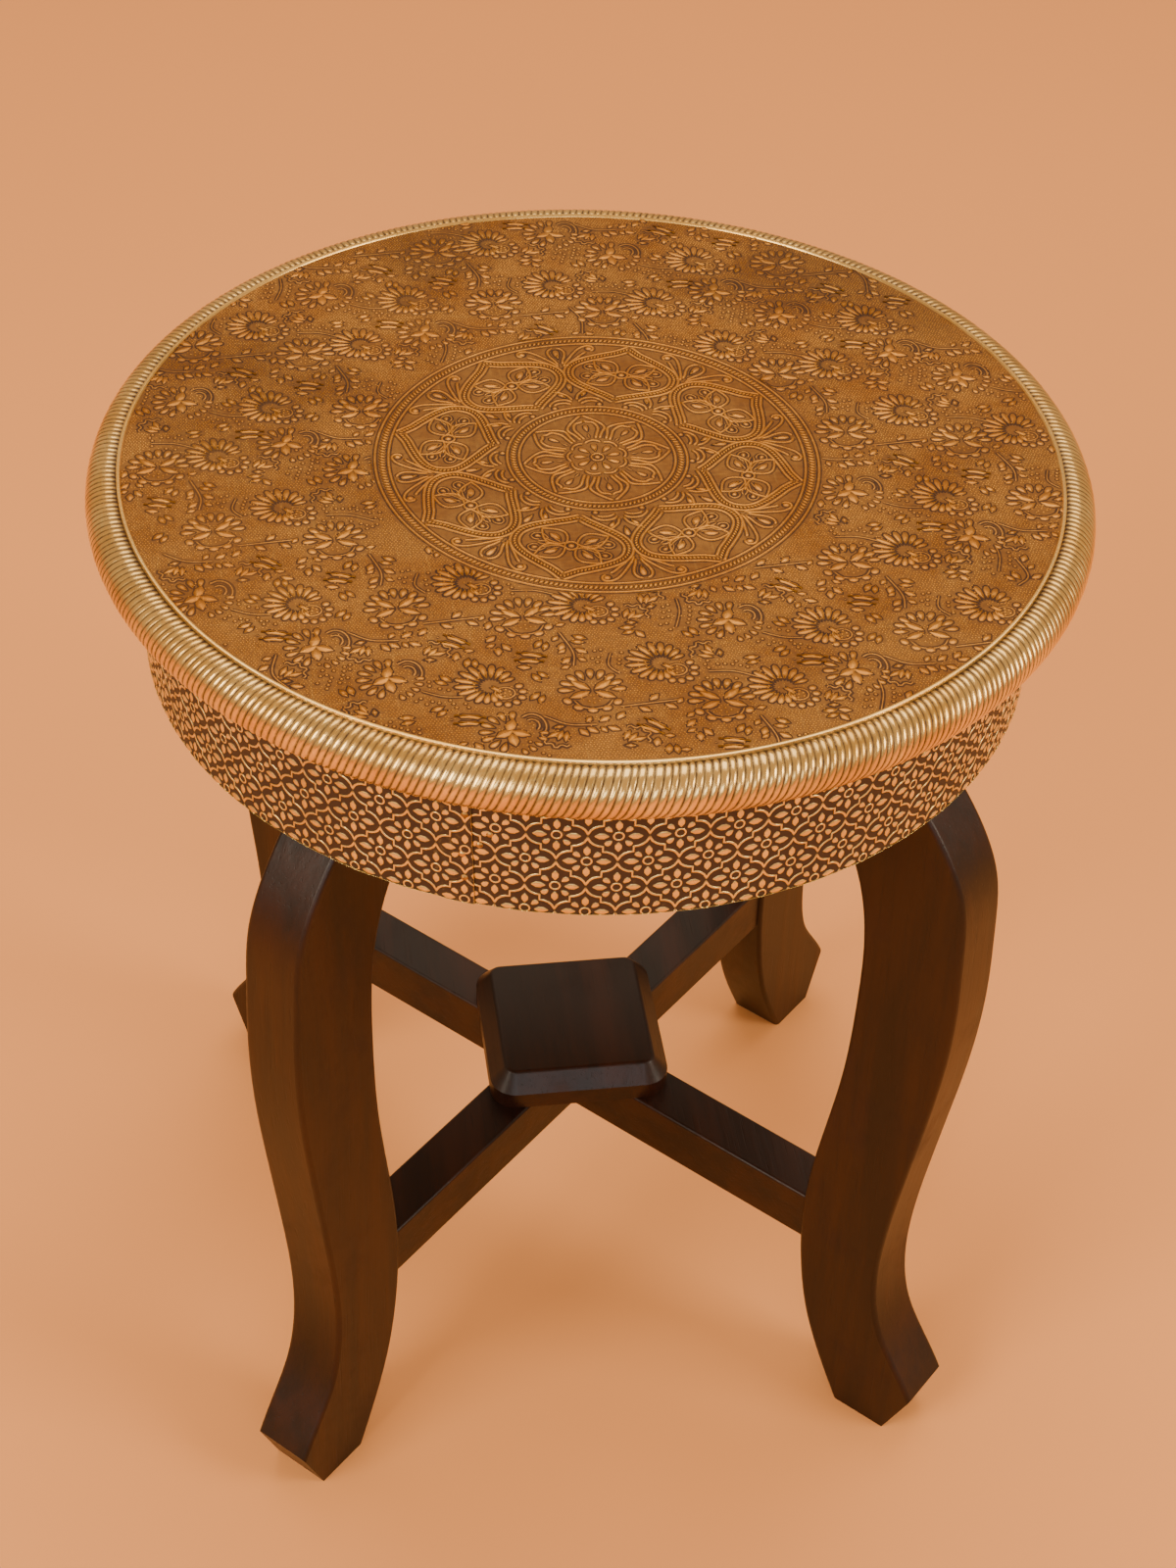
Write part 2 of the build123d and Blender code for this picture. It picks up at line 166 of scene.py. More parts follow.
class Bench:
    """Models one small shape at a time with Blender's operators and hands it back as arrays."""

    @staticmethod
    def clear() -> None:
        """Leaves edit mode and deselects everything, so that operators touch only new work."""
        if bpy.context.object and bpy.context.object.mode != "OBJECT":
            bpy.ops.object.mode_set(mode="OBJECT")
        bpy.ops.object.select_all(action="DESELECT")

    @staticmethod
    def edit() -> None:
        """Goes into edit mode on the newest object, with single vertices to select."""
        bpy.ops.object.mode_set(mode="EDIT")
        bpy.ops.mesh.select_mode(type="VERT")

    @staticmethod
    def finish_solid() -> Object:
        """Points all faces outwards, leaves edit mode and hands back the object."""
        bpy.ops.mesh.select_all(action="SELECT")
        bpy.ops.mesh.normals_make_consistent(inside=False)
        bpy.ops.object.mode_set(mode="OBJECT")
        return bpy.context.object

    @staticmethod
    def unit_grid(columns: int, rows: int) -> None:
        """Starts a flat grid from 0 to 1 both ways, in edit mode."""
        Bench.clear()
        bpy.ops.mesh.primitive_grid_add(
            x_subdivisions=columns, y_subdivisions=rows, size=1.0, location=(0.5, 0.5, 0)
        )
        bpy.ops.object.transform_apply(location=True)
        Bench.edit()

    @staticmethod
    def choose(test: Callable[[Vector], bool]) -> None:
        """Selects the vertices of the mesh in edit mode whose place passes the test."""
        mesh = bmesh.from_edit_mesh(bpy.context.object.data)
        for vertex in mesh.verts:
            vertex.select = test(vertex.co)
        mesh.select_flush_mode()
        bmesh.update_edit_mesh(bpy.context.object.data)

    @staticmethod
    def take(rise: float) -> Shape:
        """Reads the modelled object as a shape and removes it.

        Args:
            rise: the height at which the shape is rubbed bright.

        Returns:
            The shape, dark at its foot and brighter upwards.
        """
        if bpy.context.object.mode != "OBJECT":
            bpy.ops.object.mode_set(mode="OBJECT")
        obj = bpy.context.object
        mesh = obj.data
        points = np.empty(len(mesh.vertices) * 3)
        mesh.vertices.foreach_get("co", points)
        corners = np.empty(len(mesh.loops), np.int32)
        mesh.loops.foreach_get("vertex_index", corners)
        sizes = np.empty(len(mesh.polygons), np.int32)
        mesh.polygons.foreach_get("loop_total", sizes)
        bpy.data.objects.remove(obj)
        points = points.reshape(-1, 3)
        tones = np.clip((points[:, 2] - CREVICE) / (rise - CREVICE), 0.0, 1.0)
        tones[points[:, 2] < CREVICE / 2] = FOOT_TONE
        return Shape(points, tones, corners, sizes)

    @staticmethod
    def blister(
        length: float,
        width: float,
        rise: float,
        taper: Taper = lambda along: 1.0,
        sides: int = 10,
        shoulder: float = 0.28,
        skirt: float = SKIRT,
    ) -> Shape:
        """A raised blister with a soft shoulder, pushed up from a round outline.

        Args:
            length, width: size along x and y before the taper.
            rise: height of the middle.
            taper: narrows the outline, from -1 at its start to 1 at its end.
            sides: corners of the outline.
            shoulder: share of the half width that the steep edge takes.
            skirt: width of the dark line round its foot.

        Returns:
            The blister, centred on the origin, open underneath.
        """
        Bench.clear()
        bpy.ops.mesh.primitive_circle_add(vertices=sides, radius=1.0, fill_type="NGON")
        Bench.edit()
        bpy.ops.transform.rotate(value=math.pi / 2, orient_axis="Z", center_override=(0, 0, 0))
        places = sorted({round(v.co.x, 4) for v in bmesh.from_edit_mesh(bpy.context.object.data).verts})
        for place in places[1:-1]:
            Bench.choose(lambda co: abs(co.x - place) < 0.001)
            bpy.ops.transform.resize(value=(1, taper(place), 1), center_override=(0, 0, 0))
        bpy.ops.mesh.select_all(action="SELECT")
        size = (length / 2 + skirt, width / 2 + skirt, 1)
        bpy.ops.transform.resize(value=size, center_override=(0, 0, 0))
        bpy.ops.mesh.inset(thickness=skirt, depth=CREVICE)
        bpy.ops.mesh.inset(thickness=width / 2 * shoulder, depth=rise * 0.72)
        bpy.ops.mesh.poke(offset=rise * 0.28)
        return Bench.take(rise * 0.8)

    @staticmethod
    def bead(radius: float, rise: float) -> Shape:
        """A round bead like a punched dot, from a blunt cone with its base removed."""
        Bench.clear()
        bpy.ops.mesh.primitive_cone_add(
            vertices=6,
            radius1=radius,
            radius2=radius * 0.45,
            depth=rise,
            end_fill_type="NGON",
            location=(0, 0, rise / 2),
        )
        bpy.ops.object.transform_apply(location=True)
        Bench.edit()
        Bench.choose(lambda co: co.z < rise / 4)
        bpy.ops.mesh.delete(type="ONLY_FACE")
        return Bench.take(rise)

    @staticmethod
    def ring(radius: float, wire: float, rise: float) -> Shape:
        """A raised ring about the origin, from the radius to its middle and its width."""
        return Bench.wires([circle(radius, radius / 2.2)], wire, rise, closed=True, fine=True)

    @staticmethod
    def wires(
        paths: Sequence[Path],
        width: float,
        rise: float,
        closed: bool = False,
        fine: bool = False,
        skirt: float = SKIRT,
    ) -> Shape:
        """Raised lines, each over a wider and almost flat one that is the dark line at its foot.

        Args:
            paths: the centre lines.
            width: width of every line.
            rise: their height.
            closed: whether each path joins up with its own start.
            fine: whether the section has two more sides.
            skirt: width of the dark line on each side.

        Returns:
            All the lines as one shape; open ones run out to a point.
        """
        raised = Bench.half_tubes(paths, width, rise, closed, fine)
        foot = Bench.half_tubes(paths, width + 2 * skirt, CREVICE * 1.2, closed, False)
        tones = np.where(foot.points[:, 2] > CREVICE, 0.0, FOOT_TONE)
        return Shape.joined([raised, Shape(foot.points, tones, foot.corners, foot.sizes)])

    @staticmethod
    def half_tubes(
        paths: Sequence[Path], width: float, rise: float, closed: bool, fine: bool
    ) -> Shape:
        """Bevelled curves made into meshes, with only their upper halves, flattened to a height.

        Args:
            paths: the centre lines.
            width: width of every tube.
            rise: their height.
            closed: whether each path joins up with its own start.
            fine: whether the section has two more sides.

        Returns:
            All the tubes as one shape.
        """
        Bench.clear()
        curve = bpy.data.curves.new("raised_lines", "CURVE")
        curve.dimensions = "3D"
        curve.fill_mode = "HALF"
        curve.bevel_depth = width / 2
        curve.bevel_resolution = 1 if fine else 0
        for path in paths:
            spline = curve.splines.new("POLY")
            spline.points.add(len(path) - 1)
            spline.use_cyclic_u = closed
            for index, (point, place) in enumerate(zip(spline.points, path)):
                point.co = (*place, 0.0, 1.0)
                point.tilt = math.pi / 2
                at_end = index in (0, len(path) - 1) and not closed
                point.radius = 0.15 if at_end else 1.0
        obj = bpy.data.objects.new("raised_lines", curve)
        bpy.context.scene.collection.objects.link(obj)
        obj.select_set(True)
        bpy.context.view_layer.objects.active = obj
        bpy.ops.object.convert(target="MESH")
        bpy.ops.object.mode_set(mode="EDIT")
        bpy.ops.mesh.select_all(action="SELECT")
        bpy.ops.transform.resize(value=(1, 1, 2 * rise / width), center_override=(0, 0, 0))
        return Bench.take(rise * 0.8)

    @staticmethod
    def spun(name: str, section: Path, steps: int) -> Object:
        """A closed section of (radius, height) corners spun all the way round the table's axis.

        Args:
            name: the object's name.
            section: the corners, in millimetres.
            steps: steps round.

        Returns:
            The object, in metres, with its faces pointing outwards.
        """
        Bench.clear()
        bpy.ops.mesh.primitive_circle_add(vertices=len(section), radius=0.1, fill_type="NOTHING")
        obj = bpy.context.object
        obj.name = name
        bpy.ops.object.mode_set(mode="EDIT")
        mesh = bmesh.from_edit_mesh(obj.data)
        mesh.verts.ensure_lookup_table()
        for vertex, (radius, height) in zip(mesh.verts, section):
            vertex.co = (radius * MM, 0.0, height * MM)
        bmesh.update_edit_mesh(obj.data)
        bpy.ops.mesh.select_all(action="SELECT")
        bpy.ops.mesh.spin(steps=steps, angle=math.tau, center=(0, 0, 0), axis=(0, 0, 1))
        bpy.ops.mesh.select_all(action="SELECT")
        bpy.ops.mesh.remove_doubles(threshold=WELD)
        Bench.finish_solid()
        bpy.ops.object.shade_smooth_by_angle(angle=CREASE)
        return obj

    @staticmethod
    def mark(obj: Object, tone: Callable[[float], float]) -> None:
        """Writes the tone of a plain sheet, from its height in millimetres."""
        values = [tone(vertex.co.z / MM) for vertex in obj.data.vertices]
        obj.data.attributes.new(TONE, "FLOAT", "POINT").data.foreach_set("value", values)

    @staticmethod
    def join(name: str, objects: Sequence[Object]) -> Object:
        """Joins objects into the first one and names it."""
        Bench.clear()
        for obj in objects:
            obj.select_set(True)
        bpy.context.view_layer.objects.active = objects[0]
        bpy.ops.object.join()
        objects[0].name = name
        objects[0].data.name = name
        return objects[0]


# ---- Paths -----------------------------------------------------------------------------------


def polar(radius: float, degrees: float) -> Point:
    """The point at a radius and an angle."""
    return radius * math.cos(math.radians(degrees)), radius * math.sin(math.radians(degrees))


def mirrored(path: Path) -> Path:
    """The path on the other side of the x axis."""
    return [(x, -y) for x, y in path]


def smooth(points: Path, step: float = 1.0, closed: bool = False) -> Path:
    """A smooth curve through a few points, stepped evenly.

    Args:
        points: the points it goes through.
        step: distance from one point of the result to the next.
        closed: whether it comes back to its start.

    Returns:
        The stepped points; a closed path doesn't repeat its first one.
    """
    knots = np.array(points, float)
    if closed:
        knots = np.vstack([knots[-1], knots, knots[0], knots[1]])
    else:
        knots = np.vstack([2 * knots[0] - knots[1], knots, 2 * knots[-1] - knots[-2]])
    ease = np.linspace(0, 1, 12, endpoint=False)[:, None]
    runs = []
    for before, start, end, after in zip(knots, knots[1:], knots[2:], knots[3:]):
        runs.append(
            0.5
            * (
                2 * start
                + (end - before) * ease
                + (2 * before - 5 * start + 4 * end - after) * ease**2
                + (3 * start - before - 3 * end + after) * ease**3
            )
        )
    line = np.vstack(runs + [knots[-2]])
    gone = np.concatenate([[0], np.cumsum(np.linalg.norm(np.diff(line, axis=0), axis=1))])
    count = max(2, round(gone[-1] / step))
    places = np.linspace(0, gone[-1], count + 1)
    if closed:
        places = places[:-1]
    return [
        (float(np.interp(place, gone, line[:, 0])), float(np.interp(place, gone, line[:, 1])))
        for place in places
    ]


def directions(path: Path, closed: bool = False) -> list[float]:
    """The direction of travel at each point of a path, in degrees."""
    line = np.array(path)
    ahead = np.roll(line, -1, axis=0) - np.roll(line, 1, axis=0)
    if not closed:
        ahead[0] = line[1] - line[0]
        ahead[-1] = line[-1] - line[-2]
    return [math.degrees(math.atan2(dy, dx)) for dx, dy in ahead]


def beside(path: Path, distance: float) -> Path:
    """A path that runs beside another, to its left for a positive distance."""
    result = []
    for (x, y), along in zip(path, directions(path)):
        dx, dy = polar(distance, along + 90)
        result.append((x + dx, y + dy))
    return result


def circle(radius: float, step: float = 1.6) -> Path:
    """A round closed path about the origin, stepped evenly."""
    count = round(math.tau * radius / step)
    return [polar(radius, 360 * index / count) for index in range(count)]


def almond(length: float, width: float, start: float) -> Path:
    """A closed almond outline along x, from its inner tip at start."""
    count = max(5, round(length))
    upper = []
    for index in range(count + 1):
        share = index / count
        upper.append((start + length * share, width / 2 * math.sin(math.pi * share**0.85)))
    return upper + mirrored(upper[1:-1])[::-1]


# ---- Finishes --------------------------------------------------------------------------------


class Wiring:
    """A node tree and short ways to add nodes to it."""

    def __init__(self, tree: bpy.types.NodeTree) -> None:
        """Keeps the tree that the nodes go into."""
        self.tree = tree

    def node(self, kind: str, **settings: object) -> bpy.types.Node:
        """Adds a node and sets its properties."""
        node = self.tree.nodes.new(kind)
        for name, value in settings.items():
            setattr(node, name, value)
        return node

    def link(self, source: Socket, target: Socket) -> None:
        """Joins an output to an input."""
        self.tree.links.new(source, target)

    def put(self, node: bpy.types.Node, values: dict[str | int, object]) -> bpy.types.Node:
        """Fills a node's inputs, by links where the value is a socket."""
        for key, value in values.items():
            if isinstance(value, Socket):
                self.link(value, node.inputs[key])
            else:
                node.inputs[key].default_value = value
        return node

    def maths(self, operation: str, *values: object) -> Socket:
        """A Math node with its inputs filled in order."""
        node = self.node("ShaderNodeMath", operation=operation)
        return self.put(node, dict(enumerate(values))).outputs[0]

    def span(self, value: object, low: object, high: object, smoothed: bool = True) -> Socket:
        """Turns a value into a share, 0 at low and 1 at high."""
        curve = "SMOOTHSTEP" if smoothed else "LINEAR"
        node = self.node("ShaderNodeMapRange", interpolation_type=curve)
        return self.put(node, {"Value": value, "From Min": low, "From Max": high}).outputs[0]

    def noise(
        self, vector: object, scale: object, detail: float = 3.0, rough: float = 0.55
    ) -> Socket:
        """A noise value over a vector."""
        node = self.node("ShaderNodeTexNoise")
        values = {"Vector": vector, "Scale": scale, "Detail": detail, "Roughness": rough}
        return self.put(node, values).outputs["Fac"]

    def mix(self, share: object, first: object, second: object, blend: str = "MIX") -> Socket:
        """A colour mix; plain colours may be given as three numbers."""
        node = self.node("ShaderNodeMix", data_type="RGBA", blend_type=blend)
        values: dict[int, object] = {0: share}
        for index, value in ((6, first), (7, second)):
            values[index] = value if isinstance(value, Socket) else (*value, 1.0)
        return self.put(node, values).outputs[2]

    def blend(self, share: object, first: object, second: object) -> Socket:
        """A number mixed between two others."""
        node = self.node("ShaderNodeMix", data_type="FLOAT")
        return self.put(node, {0: share, 2: first, 3: second}).outputs[0]

    def place(self) -> Socket:
        """The Object coordinates."""
        return self.node("ShaderNodeTexCoord").outputs["Object"]

    def stretched(self, vector: object, scale: Colour, turn: Colour = (0, 0, 0)) -> Socket:
        """A vector turned and scaled by a Mapping node."""
        node = self.node("ShaderNodeMapping")
        return self.put(node, {"Vector": vector, "Rotation": turn, "Scale": scale}).outputs[0]

    def use(self, group: bpy.types.NodeTree, values: dict[str, object]) -> bpy.types.Node:
        """Places a node group with its own values."""
        node = self.node("ShaderNodeGroup")
        node.node_tree = group
        return self.put(node, values)


def node_group(
    name: str, inputs: dict[str, object], outputs: Sequence[str]
) -> tuple[Wiring, bpy.types.Node, bpy.types.Node]:
    """Starts a shader node group.

    Args:
        name: the group's name.
        inputs: names and default values; a value of None makes a vector input.
        outputs: names of its value outputs.

    Returns:
        The group's wiring and its input and output nodes.
    """
    tree = bpy.data.node_groups.new(name, "ShaderNodeTree")
    for label, value in inputs.items():
        kind = "NodeSocketVector" if value is None else "NodeSocketFloat"
        socket = tree.interface.new_socket(label, in_out="INPUT", socket_type=kind)
        if value is not None:
            socket.default_value = value
    for label in outputs:
        tree.interface.new_socket(label, in_out="OUTPUT", socket_type="NodeSocketFloat")
    wiring = Wiring(tree)
    return wiring, wiring.node("NodeGroupInput"), wiring.node("NodeGroupOutput")


@dataclass
class Effects:
    """The effects that several finishes share, each a node group built once."""

    grime: bpy.types.NodeTree = field(init=False)
    clouds: bpy.types.NodeTree = field(init=False)
    scratches: bpy.types.NodeTree = field(init=False)
    grain: bpy.types.NodeTree = field(init=False)

    def __post_init__(self) -> None:
        """Builds every group."""
        self.grime = self._grime()
        self.clouds = self._clouds()
        self.scratches = self._scratches()
        self.grain = self._grain()

    def _grime(self) -> bpy.types.NodeTree:
        """Patina that stays in the low places of raised work and is rubbed off the high ones."""
        inputs = {"Vector": None, "Tone": 0.0, "Low": 0.0, "High": 1.0, "Unevenness": 0.3}
        wiring, given, result = node_group("grime_in_the_low_places", inputs, ["Rubbed"])
        patch = wiring.maths("SUBTRACT", wiring.noise(given.outputs["Vector"], 420.0, 2.0), 0.5)
        nudge = wiring.maths("MULTIPLY", patch, given.outputs["Unevenness"])
        tone = wiring.maths("ADD", given.outputs["Tone"], nudge)
        rubbed = wiring.span(tone, given.outputs["Low"], given.outputs["High"], False)
        wiring.link(rubbed, result.inputs["Rubbed"])
        return wiring.tree

    def _clouds(self) -> bpy.types.NodeTree:
        """Smoky patches of old polish and tarnish."""
        inputs = {"Vector": None, "Scale": 14.0, "Low": 0.42, "High": 0.62}
        wiring, given, result = node_group("smoky_clouds", inputs, ["Cloud"])
        warp = wiring.noise(given.outputs["Vector"], given.outputs["Scale"], 5.0, 0.62)
        cloud = wiring.span(warp, given.outputs["Low"], given.outputs["High"])
        wiring.link(cloud, result.inputs["Cloud"])
        return wiring.tree

    def _scratches(self) -> bpy.types.NodeTree:
        """Fine rubbing marks that run two ways."""
        inputs = {"Vector": None, "Low": 0.56, "High": 0.72}
        wiring, given, result = node_group("rubbing_marks", inputs, ["Marks"])
        first = wiring.stretched(given.outputs["Vector"], (900.0, 60.0, 400.0), (0.0, 0.0, 0.6))
        second = wiring.stretched(given.outputs["Vector"], (70.0, 1100.0, 400.0), (0.0, 0.0, 0.25))
        both = wiring.maths("MAXIMUM", wiring.noise(first, 1.0, 2.0), wiring.noise(second, 1.0, 2.0))
        marks = wiring.span(both, given.outputs["Low"], given.outputs["High"])
        wiring.link(marks, result.inputs["Marks"])
        return wiring.tree

    def _grain(self) -> bpy.types.NodeTree:
        """Wood figure and open pores along the vector's z."""
        inputs = {"Vector": None, "Scale": 1.0}
        wiring, given, result = node_group("wood_grain", inputs, ["Figure", "Pores"])
        size = wiring.node("ShaderNodeVectorMath", operation="SCALE")
        wiring.put(size, {0: given.outputs["Vector"], "Scale": given.outputs["Scale"]})
        bands = wiring.noise(wiring.stretched(size.outputs[0], (55.0, 55.0, 5.0)), 1.0, 4.0, 0.6)
        pores = wiring.noise(wiring.stretched(size.outputs[0], (900.0, 900.0, 35.0)), 1.0, 2.0, 0.5)
        wiring.link(wiring.span(bands, 0.35, 0.68), result.inputs["Figure"])
        wiring.link(wiring.span(pores, 0.6, 0.75), result.inputs["Pores"])
        return wiring.tree


def new_material(name: str) -> tuple[bpy.types.Material, Wiring, bpy.types.Node]:
    """An empty node material with its Principled shader joined to the output."""
    material = bpy.data.materials.new(name)
    material.use_nodes = True
    wiring = Wiring(material.node_tree)
    material.node_tree.nodes.clear()
    shader = wiring.node("ShaderNodeBsdfPrincipled")
    output = wiring.node("ShaderNodeOutputMaterial")
    wiring.link(shader.outputs[0], output.inputs[0])
    return material, wiring, shader


@dataclass(frozen=True)
class AgedBrass:
    """Sheet brass with dark patina in its low places and bright metal on its high ones.

    low and high are the tones where the patina starts to thin and is gone.
    """

    name: str
    low: float
    high: float
    recess: Colour
    metal: Colour
    warm: Colour
    smoke: float
    shine: tuple[float, float]
    marks: float = 0.3
    cloud_scale: float = 14.0
    # how much the smoke clouds fade towards the front; their extra weight at the back is painted
    # reflection, the hazy dark sheen on the far side of the face
    painted_reflection_at_back: float = 0.0
    bare: float = 0.0
    uneven: float = 0.35

    def build(self, effects: Effects) -> bpy.types.Material:
        """Builds the material.

        Args:
            effects: the shared node groups.

        Returns:
            The finished material.
        """
        material, wiring, shader = new_material(self.name)
        place = wiring.place()
        tone = wiring.node("ShaderNodeAttribute", attribute_type="GEOMETRY", attribute_name=TONE)
        grime = {
            "Vector": place,
            "Tone": tone.outputs["Fac"],
            "Low": self.low,
            "High": self.high,
            "Unevenness": self.uneven,
        }
        rubbed = wiring.use(effects.grime, grime).outputs["Rubbed"]
        if self.bare:
            bald = {"Vector": place, "Scale": 9.0, "Low": 0.5, "High": 0.68}
            patch = wiring.use(effects.clouds, bald).outputs["Cloud"]
            rubbed = wiring.maths("MAXIMUM", rubbed, wiring.maths("MULTIPLY", patch, self.bare))
        clouds = {"Vector": place, "Scale": self.cloud_scale, "Low": 0.44, "High": 0.66}
        cloud = wiring.use(effects.clouds, clouds).outputs["Cloud"]
        # the smoke clouds are tarnish, but weighting them towards the back paints the hazy dark
        # reflection shown by the far side of the face
        if self.painted_reflection_at_back:
            parts = wiring.node("ShaderNodeSeparateXYZ")
            wiring.link(place, parts.inputs[0])
            back = wiring.span(parts.outputs["Y"], -0.12, 0.15)
            share = wiring.blend(back, 1.0 - self.painted_reflection_at_back, 1.0)
            cloud = wiring.maths("MULTIPLY", cloud, share)
        tint = wiring.use(effects.clouds, {"Vector": place, "Scale": 33.0, "Low": 0.35, "High": 0.7})
        marks = wiring.use(effects.scratches, {"Vector": place}).outputs["Marks"]
        metal = wiring.mix(tint.outputs["Cloud"], self.metal, self.warm)
        worn = wiring.mix(wiring.maths("MULTIPLY", marks, self.marks), metal, self.metal, "SCREEN")
        # tarnish clouds darken the metal towards the recess colour; on the face this includes the painted
        # reflection at the back
        smoke_and_painted_reflection = wiring.mix(wiring.maths("MULTIPLY", cloud, self.smoke), worn, self.recess)
        wiring.link(wiring.mix(rubbed, self.recess, smoke_and_painted_reflection), shader.inputs["Base Color"])
        wiring.link(wiring.blend(rubbed, 0.45, 0.93), shader.inputs["Metallic"])
        gloss = wiring.blend(rubbed, self.shine[1], self.shine[0])
        uneven = wiring.maths("MULTIPLY_ADD", tint.outputs["Cloud"], 0.1, gloss)
        wiring.link(uneven, shader.inputs["Roughness"])
        dents = wiring.noise(place, 60.0, 3.0)
        tooling = wiring.noise(place, 1500.0, 2.0)
        bump = wiring.node("ShaderNodeBump")
        height = wiring.maths("MULTIPLY_ADD", tooling, 0.12, dents)
        wiring.put(bump, {"Strength": 0.35, "Distance": 0.0006, "Height": height})
        wiring.link(bump.outputs[0], shader.inputs["Normal"])
        return material


@dataclass(frozen=True)
class Wood:
    """Wood with grain along one direction."""

    name: str
    dark: Colour
    light: Colour
    shine: float
    coat: float
    turn: Colour = (0.0, 0.0, 0.0)
    scale: float = 1.0

    def build(self, effects: Effects) -> bpy.types.Material:
        """Builds the material.

        Args:
            effects: the shared node groups.

        Returns:
            The finished material.
        """
        material, wiring, shader = new_material(self.name)
        place = wiring.stretched(wiring.place(), (1, 1, 1), self.turn)
        grain = wiring.use(effects.grain, {"Vector": place, "Scale": self.scale})
        wear = wiring.use(effects.clouds, {"Vector": place, "Scale": 22.0, "Low": 0.5, "High": 0.75})
        colour = wiring.mix(grain.outputs["Figure"], self.dark, self.light)
        pored = wiring.mix(wiring.maths("MULTIPLY", grain.outputs["Pores"], 0.6), colour, self.dark)
        wiring.link(pored, shader.inputs["Base Color"])
        rough = wiring.maths("MULTIPLY_ADD", wear.outputs["Cloud"], 0.12, self.shine)
        wiring.link(rough, shader.inputs["Roughness"])
        shader.inputs["Coat Weight"].default_value = self.coat
        shader.inputs["Coat Roughness"].default_value = 0.22
        shader.inputs["Specular IOR Level"].default_value = 0.35
        height = wiring.maths("MULTIPLY_ADD", grain.outputs["Pores"], -0.6, grain.outputs["Figure"])
        bump = wiring.node("ShaderNodeBump")
        wiring.put(bump, {"Strength": 0.25, "Distance": 0.0005, "Height": height})
        wiring.link(bump.outputs[0], shader.inputs["Normal"])
        return material


@dataclass(frozen=True)
class PlainMetal:
    """Small turned or stamped metal: screws, tacks and pins."""

    name: str
    bright: Colour
    dull: Colour
    shine: float

    def build(self, effects: Effects) -> bpy.types.Material:
        """Builds the material.

        Args:
            effects: the shared node groups.

        Returns:
            The finished material.
        """
        material, wiring, shader = new_material(self.name)
        place = wiring.place()
        cloud = wiring.use(effects.clouds, {"Vector": place, "Scale": 260.0, "Low": 0.4, "High": 0.65})
        marks = wiring.use(effects.scratches, {"Vector": place})
        colour = wiring.mix(cloud.outputs["Cloud"], self.bright, self.dull)
        scratched = wiring.mix(marks.outputs["Marks"], colour, self.bright)
        wiring.link(scratched, shader.inputs["Base Color"])
        shader.inputs["Metallic"].default_value = 1.0
        rough = wiring.maths("MULTIPLY_ADD", cloud.outputs["Cloud"], 0.25, self.shine)
        wiring.link(rough, shader.inputs["Roughness"])
        return material


# ---- Sizes taken from the frame --------------------------------------------------------------


@dataclass
class TableSizes:
    """Levels and radii of the brass, in millimetres, read from the frame."""

    sheet: float = 0.6
    face: float = field(init=False)
    face_radius: float = field(init=False)
    groove_floor: float = field(init=False)
    rim_radius: float = field(init=False)
    lip_top: float = field(init=False)
    rim_bottom: float = field(init=False)
    apron_radius: float = field(init=False)
    hem: float = field(init=False)

    def __post_init__(self) -> None:
        """Reads the boxes of the brass nodes."""
        face_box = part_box("brass_top_sheet")
        rim_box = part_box("brass_rim_band")
        apron_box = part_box("brass_apron_band")
        self.face = rim_box[1].z / MM
        self.face_radius = face_box[1].x / MM
        self.groove_floor = face_box[0].z / MM
        self.rim_radius = rim_box[1].x / MM
        self.lip_top = face_box[1].z / MM
        self.rim_bottom = rim_box[0].z / MM
        self.apron_radius = apron_box[1].x / MM
        self.hem = apron_box[0].z / MM


# ---- Rim -------------------------------------------------------------------------------------


